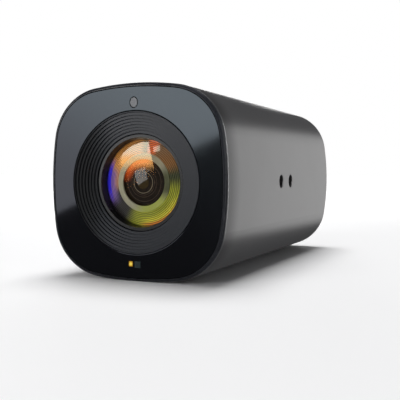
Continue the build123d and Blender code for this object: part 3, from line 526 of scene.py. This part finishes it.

# %% [markdown]
# ## The lens
# Light goes through two elements that can be seen. The front one is a wide, shallow dome held by a
# black threaded ring. Behind it a ridged cell leads to a pale ring, and inside that sits a small,
# strongly curved element. Real coated glass mirrors a few percent of each light, tinted by its
# coating, and lets the rest through. A full glass shader would need many bounces to show the dark
# cell, so the dome here is a thin mirror with Alpha below one. Only its front surface mirrors. The
# lamp's mirror image in it is real, but how much it mirrors and in what tint is painted by place, a
# painted reflection: most in its upper part, dark brown low down, amber above the middle and pale near
# the top, and less beyond 9 mm to the left, so that the lamp's mirror image keeps an edge.

# %% Retaining ring and front element
RING = [(17.7, 4.2), (16.5, 4.2), (16.05, 7.35), (16.95, 7.56), (16.95, 8.8), (17.7, 8.8)]
FRONT_RIM, FRONT_APEX, FRONT_CURVE = 16.9, 5.7, 76.0
BACK_APEX, BACK_CURVE = 6.3, 74.0
# How much the glass mirrors, painted by place: everywhere in front, more above the middle, more near the
# top, and behind.
FRONT_SHARE, UPPER_SHARE, TOP_SHARE, BACK_SHARE = 0.04, 0.125, 0.025, 0.02


def dome(radius, apex, curve, points=28):
    """Corners along a lens surface from its middle to its rim."""
    rim = math.asin(radius / curve)
    turns = [rim * k / points for k in range(points + 1)]
    return [(curve * math.sin(turn), apex + curve * (1 - math.cos(turn))) for turn in turns]


ring_black = moulded("lens_black", (0.006, 0.006, 0.0065), roughness=0.3, grain=0.3, depth=0.004)
finished("retaining_ring_turned", turned(RING, bevel=0.08, degrees=30), ring_black,
         ["retaining_ring"])

front_half = dome(FRONT_RIM, FRONT_APEX, FRONT_CURVE)
back_half = dome(FRONT_RIM, BACK_APEX, BACK_CURVE)
coated = Finish("front_glass", metallic=1.0)
across, into, up = coated.place(at(0, 0, 0))
radius, _ = coated.around()
sag = radius * radius / (FRONT_CURVE + BACK_CURVE)
front_side = 1 - (into - sag).step(FRONT_APEX + 0.2, BACK_APEX - 0.2)
# Painted reflection: the mirror's strength and tint change with height and towards the left.
upper, top = up.step(3, 8), up.step(8, 12)
inside = across.step(-9.5, -8.9)
painted_reflection_tint = coated.mix(upper, (0.04, 0.016, 0.005), (0.80, 0.42, 0.13))
coated.set("base_color", coated.mix(top, painted_reflection_tint, (0.66, 0.62, 0.50)))
mirrored_share = FRONT_SHARE + UPPER_SHARE * upper + TOP_SHARE * top
coated.set("alpha", mirrored_share * (0.3 + 0.7 * inside) * front_side + BACK_SHARE)
coated.set("roughness", 0.02 + 0.02 * coated.noise(2.0))
finished("front_dome", turned(front_half + back_half[::-1]), coated, ["front_element"])

# %% [markdown]
# The cell's front is cut into fine rings, like a record, so that its wall doesn't mirror light onto
# the sensor. It is one turned section. The coatings' coloured reflections on the rings are painted
# into their colour, which also glows faintly: brown and amber at the top, violet at the left and
# yellow-green at the lower right. That sweep is a colour that depends on the angle round the axis,
# and painted shade keeps the grooves black.

# %% Ridged cell
RIDGES, RIDGE_INNER, RIDGE_OUTER, RIDGE_DEPTH = 8, 10.9, 16.1, 0.2
# Shares of one ridge's width: where its crest ends, and where the groove behind it starts and ends.
CREST_END, GROOVE_START, GROOVE_END = 0.55, 0.6, 0.95
CELL_MOUTH, CELL_FALL = 7.4, 0.85
CELL_BODY = [(16.1, 8.3), (16.9, 8.3), (16.9, 8.85), (17.6, 8.85), (17.6, 11.5), (21.0, 11.5),
             (21.0, 14.0), (13.2, 14.0), (13.2, 17.0), (8.4, 17.0), (8.4, 12.05), (9.65, 12.05),
             (9.65, 7.65), (10.9, 7.65)]
# Painted reflections: colour, middle angle, width to each side and softness in degrees, radii where it
# starts and is full.
CELL_PAINTED_REFLECTIONS = (
    ((0.030, 0.026, 0.024), 210, 34, 24, 10, 11),
    ((0.55, 0.24, 0.10), 150, 30, 22, 10, 11.5),
    ((0.24, 0.13, 0.42), 180, 14, 26, 11, 14),
    ((0.70, 0.30, 0.06), 125, 24, 20, 10, 11),
    ((0.050, 0.035, 0.95), 177, 10, 26, 14.3, 15.0),
    ((0.30, 0.13, 0.03), 52, 20, 20, 10, 11),
    ((0.95, 0.15, 0.004), 75, 4, 8, 10, 12),
    ((0.34, 0.36, 0.014), -58, 44, 24, 10, 11),
    ((0.75, 0.66, 0.03), -58, 22, 24, 12, 14.5),
    ((0.80, 0.26, 0.02), -50, 30, 22, 14.6, 15.3),
)

pitch = (RIDGE_OUTER - RIDGE_INNER) / RIDGES
corners = []
for ridge in range(RIDGES):
    crest, mouth = RIDGE_INNER + ridge * pitch, CELL_MOUTH + CELL_FALL * (ridge + 1) / RIDGES
    corners += [(crest, mouth), (crest + CREST_END * pitch, mouth),
                (crest + GROOVE_START * pitch, mouth + RIDGE_DEPTH),
                (crest + GROOVE_END * pitch, mouth + RIDGE_DEPTH)]

sweep = Finish("cell_ridges", emission_strength=0.22)
radius, turn = sweep.around()
colour = (0.048, 0.058, 0.014)
for tint, middle, width, softness, start, full in CELL_PAINTED_REFLECTIONS:
    share = turn.band(middle, 2 * width, softness)
    if middle + width + softness > 180:
        share = share + turn.band(middle - 360, 2 * width, softness)
    colour = sweep.mix(share * radius.step(start, full), colour, tint)
# The wave is at its lowest, -1, in the middle of each groove.
groove_middle = math.tau * (GROOVE_START + GROOVE_END) / 2
wave = ((radius - RIDGE_INNER) * (math.tau / pitch) + (1.5 * math.pi - groove_middle)).sine()
# Painted shade: the grooves are darkened towards black.
colour = sweep.mix(0.8 * wave.step(-0.1, -0.6), colour, (0.0, 0.0, 0.0))
colour = sweep.mix(radius.step(RIDGE_OUTER, RIDGE_OUTER + 0.2), colour, (0.008, 0.008, 0.008))
sweep.set("base_color", colour)
# A painted glow: the painted colours also glow faintly.
sweep.set("emission_color", colour)
sweep.set("roughness", 0.4 + 0.2 * sweep.noise(0.5))
finished("ridged_cell", turned(corners + CELL_BODY), sweep, ["lens_cell"])

# %% [markdown]
# The pale ring is a thin moulded washer in front of the inner element. Painted reflections from the
# coatings colour it: yellow-green at the lower right and darker at the right. The inner element is a
# strong dome over a dark barrel, with a painted orange reflection at its upper left, a faint painted
# glow over all of it, and the rims of deeper elements as thin circles. Modelling a dozen hidden lenses
# would give little more, so the circles are a pattern.

# %% Pale ring
PALE_RING = [(10.85, 7.2), (8.7, 7.0), (8.7, 7.6), (10.85, 7.6)]

beige = Finish("aperture_beige")
clouds, fine = beige.noise(3), beige.noise(0.3)
_, turn = beige.around()
colour = beige.mix(clouds, (0.36, 0.34, 0.22), (0.42, 0.39, 0.26))
# Painted reflections: yellow-green at the lower right and darker at the right.
colour = beige.mix(turn.band(-62, 40, 40), colour, (0.42, 0.46, 0.08))
colour = beige.mix(turn.band(0, 25, 35), colour, (0.085, 0.09, 0.03))
beige.set("base_color", colour)
beige.set("roughness", 0.5 + 0.2 * (fine - 0.5))
beige.bump(fine, 0.006)
finished("pale_ring", turned(PALE_RING, bevel=0.05), beige, ["aperture_ring"])

# %% Inner element
INNER_RIM, INNER_APEX, INNER_CURVE, INNER_BACK = 9.6, 6.6, 24.0, 12.0
# Radius and width of each circle in millimetres.
FINE_RINGS, PLAIN_RING = ((7.0, 0.12), (5.4, 0.08), (4.6, 0.08)), (3.9, 0.14)
PUPIL_RADIUS = 2.2

deep = Finish("second_glass", emission_strength=0.3)
radius, turn = deep.around()
# Painted reflection: an orange crescent at the upper left.
painted_crescent = radius.step(4.5, 8.2) * turn.band(120, 50, 40)
base = deep.mix(painted_crescent, (0.012, 0.008, 0.005), (0.60, 0.085, 0.012))
fine_rings = sum(radius.band(size, width, 0.08) for size, width in FINE_RINGS)
base = deep.mix(0.35 * fine_rings, base, (0.10, 0.07, 0.05))
base = deep.mix(0.8 * radius.band(*PLAIN_RING, 0.1), base, (0.18, 0.15, 0.10))
base = deep.mix(1 - radius.step(PUPIL_RADIUS, PUPIL_RADIUS + 0.4), base, (0.030, 0.020, 0.006))
deep.set("base_color", base)
# A painted glow: the whole colour glows faintly.
deep.set("emission_color", base)
deep.set("roughness", 0.03 + 0.02 * deep.noise(1.0))
finished("inner_dome", turned(dome(INNER_RIM, INNER_APEX, INNER_CURVE)
                              + [(INNER_RIM, INNER_BACK), (0, INNER_BACK)]),
         deep, ["second_element"])

# %% [markdown]
# ## The rear and the base
# The cables go in at the back, in a recessed plate. The four screws that hold it are turned like the
# lens rings. Each has a six-sided drive recess, which a short prism cuts, because a spun section can't
# have flat sides.

# %% Rear screws
SCREW_PLACES = [(across, up) for across in (-24.5, 24.5) for up in (-24.5, 24.5)]
SCREW_SEAT, SCREW_HEAD, SCREW_TOP = 138.5, 2.75, 140.5
SCREW_SHANK, SCREW_TIP = 1.45, 126.5
CROWN_STEP, CROWN_FALL, TIP_CHAMFER = 0.25, 0.9, 0.4
RECESS_RADIUS, RECESS_DEPTH = 1.3, 1.1


def prism(mesh, across, up, radius, start, end, sides=6):
    """A straight bar with that many sides."""
    stood = Matrix.Translation(at(across, (start + end) / 2, up)) @ Matrix.Rotation(math.pi / 2, 4, "X")
    bmesh.ops.create_cone(mesh, cap_ends=True, segments=sides, radius1=radius * MM, radius2=radius * MM,
                          depth=(end - start) * MM, matrix=stood)


screws, recesses = bmesh.new(), bmesh.new()
screw_section = [(0, SCREW_TOP), (SCREW_HEAD - CROWN_FALL, SCREW_TOP),
                 (SCREW_HEAD - CROWN_STEP, SCREW_TOP - CROWN_FALL / 3), (SCREW_HEAD, SCREW_TOP - CROWN_FALL),
                 (SCREW_HEAD, SCREW_SEAT), (SCREW_SHANK, SCREW_SEAT), (SCREW_SHANK, SCREW_TIP + TIP_CHAMFER),
                 (SCREW_SHANK - TIP_CHAMFER, SCREW_TIP), (0, SCREW_TIP)]
for place in SCREW_PLACES:
    turned_on(screws, screw_section, place, steps=48)
    prism(recesses, *place, RECESS_RADIUS, SCREW_TOP - RECESS_DEPTH, SCREW_TOP + 1)
closed(screws)
finished("rear_plate_screws", carved(screws, recesses), brushed("screw_bright", (0.42, 0.42, 0.43)),
         ["rear_screws"], smooth_below=30)

# %% [markdown]
# A rectangular socket is a folded metal shell round a black core. Modelled as one block with its mouth
# cut out, it keeps thin walls with clean corners. The finish turns from metal to black plastic inside
# the mouth, by the same sizes that cut it. Two of them hold a tongue, and the network port has two
# mouths, one for the plug and one for its latch.

# %% Rectangular sockets
SOCKET_START, SOCKET_END = 125.6, 139.0
TONGUE_START, TONGUE_END = SOCKET_END - 6.9, SOCKET_END - 0.8
METAL, PLASTIC = (0.55, 0.55, 0.56), (0.010, 0.010, 0.011)
# Places are across and up from the lens axis, and sizes are width and height.
SOCKETS = {
    "lan_socket": dict(place=(-11, -9.5), size=(16.0, 13.5), rounding=0.4, tongue=None, mouths=(
        dict(place=(-11, -8.7), size=(11.8, 8.4), rounding=0.25, depth=12),
        dict(place=(-11, -13.6), size=(6.4, 2.6), rounding=0.25, depth=12))),
    "video_socket": dict(place=(-10, 9), size=(15.0, 5.8), rounding=0.8, tongue=((-10, 9.3), (10.8, 1.2)),
                         mouths=(dict(place=(-10, 9), size=(14.0, 4.6), rounding=0.9, depth=9),)),
    "data_socket": dict(place=(14, 8.5), size=(9.2, 3.6), rounding=1.75, tongue=((14, 8.5), (6.2, 0.7)),
                        mouths=(dict(place=(14, 8.5), size=(8.4, 2.7), rounding=1.3, depth=7),)),
}

for name, socket in SOCKETS.items():
    block = bmesh.new()
    bar(block, *socket["place"], *socket["size"], SOCKET_START, SOCKET_END, socket["rounding"])
    soften(block, 0.15, degrees=70)
    shell_metal = brushed(name + "_metal", METAL, roughness=0.24)
    across, into, up = shell_metal.place(at(0, 0, 0))
    inner = 0
    for mouth in socket["mouths"]:
        (right, above), (width, height) = mouth["place"], mouth["size"]
        cut = bmesh.new()
        bar(cut, right, above, width, height, SOCKET_END - mouth["depth"], SOCKET_END + 1, mouth["rounding"])
        block = carved(block, cut)
        inner = (across.band(right, width + 0.02, 0.03) * up.band(above, height + 0.02, 0.03)).largest(inner)
    inner = inner * (1 - into.step(SOCKET_END - 0.5, SOCKET_END - 0.4))
    if socket["tongue"]:
        tongue_place, tongue_size = socket["tongue"]
        bar(block, *tongue_place, *tongue_size, TONGUE_START, TONGUE_END, 0.1)
    shell_metal.set("metallic", 1 - inner)
    shell_metal.set("base_color", shell_metal.mix(inner, METAL, PLASTIC))
    finished(name + "_shell", block, shell_metal, [name], smooth_below=25)

# %% Network contacts
CONTACTS, CONTACT_PITCH, CONTACT_UP, CONTACT_SIZE = 8, 1.02, -4.9, (0.4, 0.9)
CONTACT_START, CONTACT_END = SOCKET_END - 11.9, SOCKET_END - 2.0

contacts = bmesh.new()
for contact in range(CONTACTS):
    right = SOCKETS["lan_socket"]["place"][0] + (contact - (CONTACTS - 1) / 2) * CONTACT_PITCH
    bar(contacts, right, CONTACT_UP, *CONTACT_SIZE, CONTACT_START, CONTACT_END)
finished("network_contacts", contacts, brushed("contact_gold", (0.80, 0.56, 0.20), roughness=0.22))

# %% [markdown]
# The power and audio sockets and the reset button are round, so each is one turned section. The power
# socket's pin and the audio socket's bore are plated, and a band about the middle line says where.
# The button rides on its own body, so that it can be pressed.

# %% Round sockets
POWER_PLACE, AUDIO_PLACE, RESET_PLACE = (15.5, -10), (3.5, -10), (1.5, 9)
POWER_SECTION = [(4.5, SOCKET_START), (4.5, 138.7), (4.2, SOCKET_END), (3.6, SOCKET_END), (3.2, 138.6),
                 (3.2, 129.5), (1.0, 129.5), (1.0, 138.6), (0.6, SOCKET_END), (0, SOCKET_END),
                 (0, SOCKET_START)]
AUDIO_SECTION = [(3.0, SOCKET_START), (3.0, 138.7), (2.7, SOCKET_END), (2.1, SOCKET_END), (1.8, 138.7),
                 (1.8, 127), (0, 127), (0, SOCKET_START)]
BUTTON_SECTION = [(0, 129.8), (1.0, 129.8), (1.0, 135.0), (2.0, 135.0), (2.0, 135.9), (1.2, 135.9),
                  (1.2, 139.1), (1.05, 139.3), (0.5, 139.15), (0, 139.1)]

# Each row ends with the middle radius and the width of the plated band.
for name, old, section, place, steps, plated_at, plated_width in (
        ("power_socket_round", "power_jack", POWER_SECTION, POWER_PLACE, 64, 0, 2.6),
        ("audio_socket_round", "audio_jack", AUDIO_SECTION, AUDIO_PLACE, 48, 2.0, 0.4)):
    mesh = bmesh.new()
    turned_on(mesh, section, place, steps)
    skin = moulded(name + "_black", (0.011, 0.011, 0.012), roughness=0.42)
    plated = skin.around(place)[0].band(plated_at, plated_width, 0.05)
    skin.set("metallic", plated)
    skin.set("base_color", skin.mix(plated, (0.011, 0.011, 0.012), (0.6, 0.6, 0.6)))
    finished(name, mesh, skin, [old], smooth_below=30)

# %% Reset button
button = bmesh.new()
turned_on(button, BUTTON_SECTION, RESET_PLACE, 40)
finished("reset_knob", button, moulded("knob_grey", (0.16, 0.16, 0.165), roughness=0.42),
         ["reset_button"], body="reset", smooth_below=30)

# %% [markdown]
# In the base sits a steel bush with the usual tripod thread. Its grooves are rings rather than a
# helix. From outside the two look the same, and rings turn as one section with no seam to close.

# %% Tripod thread
BUSH_RADIUS, BUSH_HEIGHT, BUSH_CHAMFER, THREAD_MOUTH, THREAD_CREST = 4.5, 7.5, 0.15, 2.9, 2.6
THREAD_START, THREAD_TOP, THREAD_PITCH = 0.5, 6.3, 1.27
GROOVE_HALF, THREAD_CUT = 0.5, 0.45

section = [(BUSH_RADIUS, BUSH_CHAMFER), (BUSH_RADIUS, BUSH_HEIGHT), (0, BUSH_HEIGHT), (0, THREAD_TOP),
           (THREAD_CREST, THREAD_TOP)]
for groove in reversed(range(int((THREAD_TOP - THREAD_START) / THREAD_PITCH))):
    middle = THREAD_START + (groove + 0.5) * THREAD_PITCH
    section += [(THREAD_CREST, middle + GROOVE_HALF), (THREAD_CREST + THREAD_CUT, middle),
                (THREAD_CREST, middle - GROOVE_HALF)]
section += [(THREAD_CREST, THREAD_MOUTH - THREAD_CREST), (THREAD_MOUTH, 0), (BUSH_RADIUS - BUSH_CHAMFER, 0)]
bush = bmesh.new()
loop = [bush.verts.new((radius * MM, 0, up * MM)) for radius, up in section]
drawn = [bush.edges.new((one, other)) for one, other in zip(loop, loop[1:] + loop[:1])
         if one.co.x or other.co.x]
bmesh.ops.spin(bush, geom=loop + drawn, cent=(0, 0, 0), axis=(0, 0, 1), angle=math.tau, steps=64,
               use_merge=True)
finished("tripod_bush", bush, brushed("bush_steel", (0.52, 0.50, 0.46), roughness=0.26),
         ["tripod_insert"], smooth_below=25)

# %% [markdown]
# ## Finishes for the parts that keep their CAD mesh
# A part whose CAD shape is right only gets a new material in its slot. The housing is anodised
# aluminium: metal through and through, with a fine grain that runs along the extrusion. Its front
# rim is painted bright, as a machined edge and as a painted highlight along it. Behind the rim and low
# on the walls the colour is darkened, a painted reflection of the dark things that such metal mirrors
# there, because the studio here has nothing in it.

# %% Housing
shell = Finish("anodised_grey", metallic=1.0)
across, into, up = shell.place(at(0, 0, 0))
fine, clouds = shell.noise(0.22), shell.noise(25)
lines = shell.noise(0.3, stretch=(1, 0.02, 1))
# The front rim is painted bright: machined metal, and a painted highlight along it.
rim = 1 - into.step(1.9, 2.05)
# Painted reflection: darker behind the rim and low on the walls.
behind_rim = 1 - into.step(2, 15)
low_down = 1 - up.step(-36, -21)
colour = shell.mix(clouds, (0.33, 0.327, 0.325), (0.38, 0.377, 0.375))
colour = shell.mix(0.6 * behind_rim, colour, (0.08, 0.08, 0.08))
colour = shell.mix(0.85 * low_down, colour, (0.03, 0.03, 0.03))
shell.set("base_color", shell.mix(rim, colour, (0.8, 0.8, 0.8)))
shell.set("roughness", 0.38 + 0.1 * (fine - 0.5) - 0.15 * rim)
shell.bump(0.6 * fine + 0.4 * lines, 0.006)
print("the housing's finish has", len(shell.tree.nodes), "nodes")

# %% [markdown]
# Every other part is named in the record with the slot that it takes its material from, so one table
# from slot to finish covers them all. The parts inside are seen when the housing is taken off or a
# joint is moved, and they get the same two kinds of finish as the outside.

# %% The other finishes
BLACK = (0.010, 0.010, 0.011)
finishes = {
    "anodised_grey": shell,
    "bezel_black": moulded("bezel_black", (0.013, 0.0145, 0.019), roughness=0.28, grain=0.25, depth=0.004),
    "circuit_board": moulded("circuit_board", (0.008, 0.06, 0.022), roughness=0.35, grain=0.8),
    "chip_black": moulded("chip_black", BLACK, roughness=0.55),
    "gasket_rubber": moulded("gasket_rubber", (0.014, 0.014, 0.014), roughness=0.75),
    "screw_steel": brushed("screw_steel", (0.45, 0.45, 0.46)),
    "lens_black": ring_black,
    "lens_glass": moulded("lens_glass", (0.05, 0.06, 0.09), roughness=0.06, depth=0.001),
    "moulded_black": moulded("moulded_black", BLACK, roughness=0.5),
    "rod_steel": brushed("rod_steel", (0.62, 0.62, 0.63), roughness=0.16),
    "motor_steel": brushed("motor_steel", (0.50, 0.50, 0.49), roughness=0.34),
    "blade_black": moulded("blade_black", (0.008, 0.008, 0.008), roughness=0.6),
    "sheet_steel": brushed("sheet_steel", (0.55, 0.55, 0.56), roughness=0.28),
    "plain_aluminium": brushed("plain_aluminium", (0.66, 0.66, 0.67), roughness=0.36),
    "flex_amber": moulded("flex_amber", (0.35, 0.12, 0.02), roughness=0.3, grain=0.8),
    "rear_black": moulded("rear_black", (0.012, 0.012, 0.013), roughness=0.48, grain=0.4, depth=0.02),
    "socket_metal": brushed("socket_metal", (0.60, 0.60, 0.61), roughness=0.25),
    "socket_black": moulded("socket_black", BLACK, roughness=0.45),
    "button_grey": moulded("button_grey", (0.12, 0.12, 0.125), roughness=0.45),
}
finished_parts = 0
for part in frame["record"]["subparts"]:
    finish = finishes.get(part["material_slot"])
    if finish:
        skins = nodes[part["node"]].data.materials
        skins.clear()
        skins.append(finish.material)
        finished_parts += 1
print("finishes on", finished_parts, "parts")

# %% [markdown]
# ## Studio
# A small product is shown on white paper. The floor takes the lamps' light and the camera's shadow
# nearby. Further off it turns into an even white glow, so that no horizon shows. The floor isn't
# mirrored in the camera, because a real sheet of paper would be cut just outside the view.

# %% Floor
FLOOR_REACH = 6.0  # metres from the middle to each side
FLOOR_MIDDLE, NEAR, FAR = (20, 40), 180, 520

floor_mesh = bmesh.new()
bmesh.ops.create_grid(floor_mesh, x_segments=1, y_segments=1, size=FLOOR_REACH)
floor_data = bpy.data.meshes.new("studio_floor")
floor_mesh.to_mesh(floor_data)
floor_mesh.free()
floor = bpy.data.objects.new("studio_floor", floor_data)
floor.visible_glossy = False
floor.visible_shadow = False
paper = Finish("studio_paper", emission_strength=1.0)
across, along, _ = paper.place()
from_middle = [across - FLOOR_MIDDLE[0], along - FLOOR_MIDDLE[1]]
far = sum(side * side for side in from_middle).root().step(NEAR, FAR)
paper.set("base_color", paper.mix(far, (0.88, 0.88, 0.885), (0.0, 0.0, 0.0)))
paper.set("emission_color", paper.mix(far, (0.0, 0.0, 0.0), (1.05, 1.05, 1.05)))
paper.set("roughness", 0.85 + 0.1 * paper.noise(0.6))
floor_data.materials.append(paper.material)
bpy.context.scene.collection.objects.link(floor)
print("floor reaches", FLOOR_REACH, "m to each side")

# %% [markdown]
# The surroundings are one colour for each kind of ray. The view sees white. Mirrored rays see a dark
# grey, so that the glossy face stays black between the lamps, and diffuse rays see a darker one
# still, so that shadows keep their depth. One white world would wash out both.

# %% World
SEEN_WHITE, MIRRORED_GREY, FILL_GREY = (1.0, 1.0, 1.0, 1), (0.12, 0.12, 0.125, 1), (0.05, 0.05, 0.052, 1)

world = bpy.data.worlds.new("studio")
world.use_nodes = True
bpy.context.scene.world = world
air = world.node_tree
path = air.nodes.new("ShaderNodeLightPath")
background = air.nodes["Background"]
background.inputs["Strength"].default_value = 1.0


def shown_to(ray, colour):
    """A Mix node that gives one kind of ray a colour of its own. The others get its first colour."""
    mixed = air.nodes.new("ShaderNodeMix")
    mixed.data_type = "RGBA"
    air.links.new(path.outputs[ray], mixed.inputs[0])
    mixed.inputs[7].default_value = colour
    return mixed


mirrored = shown_to("Is Glossy Ray", MIRRORED_GREY)
mirrored.inputs[6].default_value = FILL_GREY
seen = shown_to("Is Camera Ray", SEEN_WHITE)
air.links.new(mirrored.outputs[2], seen.inputs[6])
air.links.new(seen.outputs[2], background.inputs["Color"])
print("the world has", len(air.nodes), "nodes")

# %% [markdown]
# The lamps are soft boxes. The first two are there for what they leave in the glass: a pale tilted
# square in the front element and a small bright mark in the middle. A strip at the side and two boxes
# behind show in the tube's edges, and a large lamp overhead lights the floor and the top. The three
# wrap lamps are only mirrored in glossy parts and don't light matt ones.

# %% Lamps
def softbox(name, azimuth, elevation, distance, width, height, radiance, roll=0.0, mirrored=True,
            spread=True):
    """A soft rectangular lamp, at that azimuth and elevation from the middle of the front face.

    Angles are in degrees and sizes in metres. An azimuth of 0 is straight in front of the lens.
    """
    turn, rise = math.radians(azimuth), math.radians(elevation)
    towards = Vector((math.sin(turn) * math.cos(rise), -math.cos(turn) * math.cos(rise), math.sin(rise)))
    lamp = bpy.data.lights.new(name, "AREA")
    lamp.shape, lamp.size, lamp.size_y = "RECTANGLE", width, height
    lamp.energy = radiance * width * height * math.pi
    holder = bpy.data.objects.new(name, lamp)
    tilt = towards.to_track_quat("Z", "Y").to_matrix().to_4x4()
    holder.matrix_world = (Matrix.Translation(at(0, 0, 0) + towards * distance) @ tilt
                           @ Matrix.Rotation(math.radians(roll), 4, "Z"))
    holder.visible_glossy, holder.visible_diffuse = mirrored, spread
    bpy.context.scene.collection.objects.link(holder)


softbox("main_box", -35.0, 10.5, 1.0, 0.42, 0.42, 3.2, roll=26)
softbox("small_box", -20.7, 20, 1.0, 0.075, 0.06, 1.9, roll=15)
softbox("face_fill", -10, 30, 1.2, 0.8, 0.8, 1.3, mirrored=False)
softbox("edge_strip", 62, 10, 1.2, 0.15, 0.9, 2.4)
softbox("rear_box", 162, 0, 1.2, 0.40, 0.64, 0.95)
softbox("top_strip", 206, 3, 1.2, 0.6, 0.45, 8.0)
softbox("overhead", 200, 77, 1.6, 0.9, 0.9, 10.2, mirrored=False)
for name, azimuth, elevation in (("wrap_right", 97, 18), ("wrap_left", -97, 18), ("wrap_top", 0, 85)):
    softbox(name, azimuth, elevation, 1.2, 0.8, 0.6, 0.8, spread=False)
print(len(bpy.data.lights), "lamps")
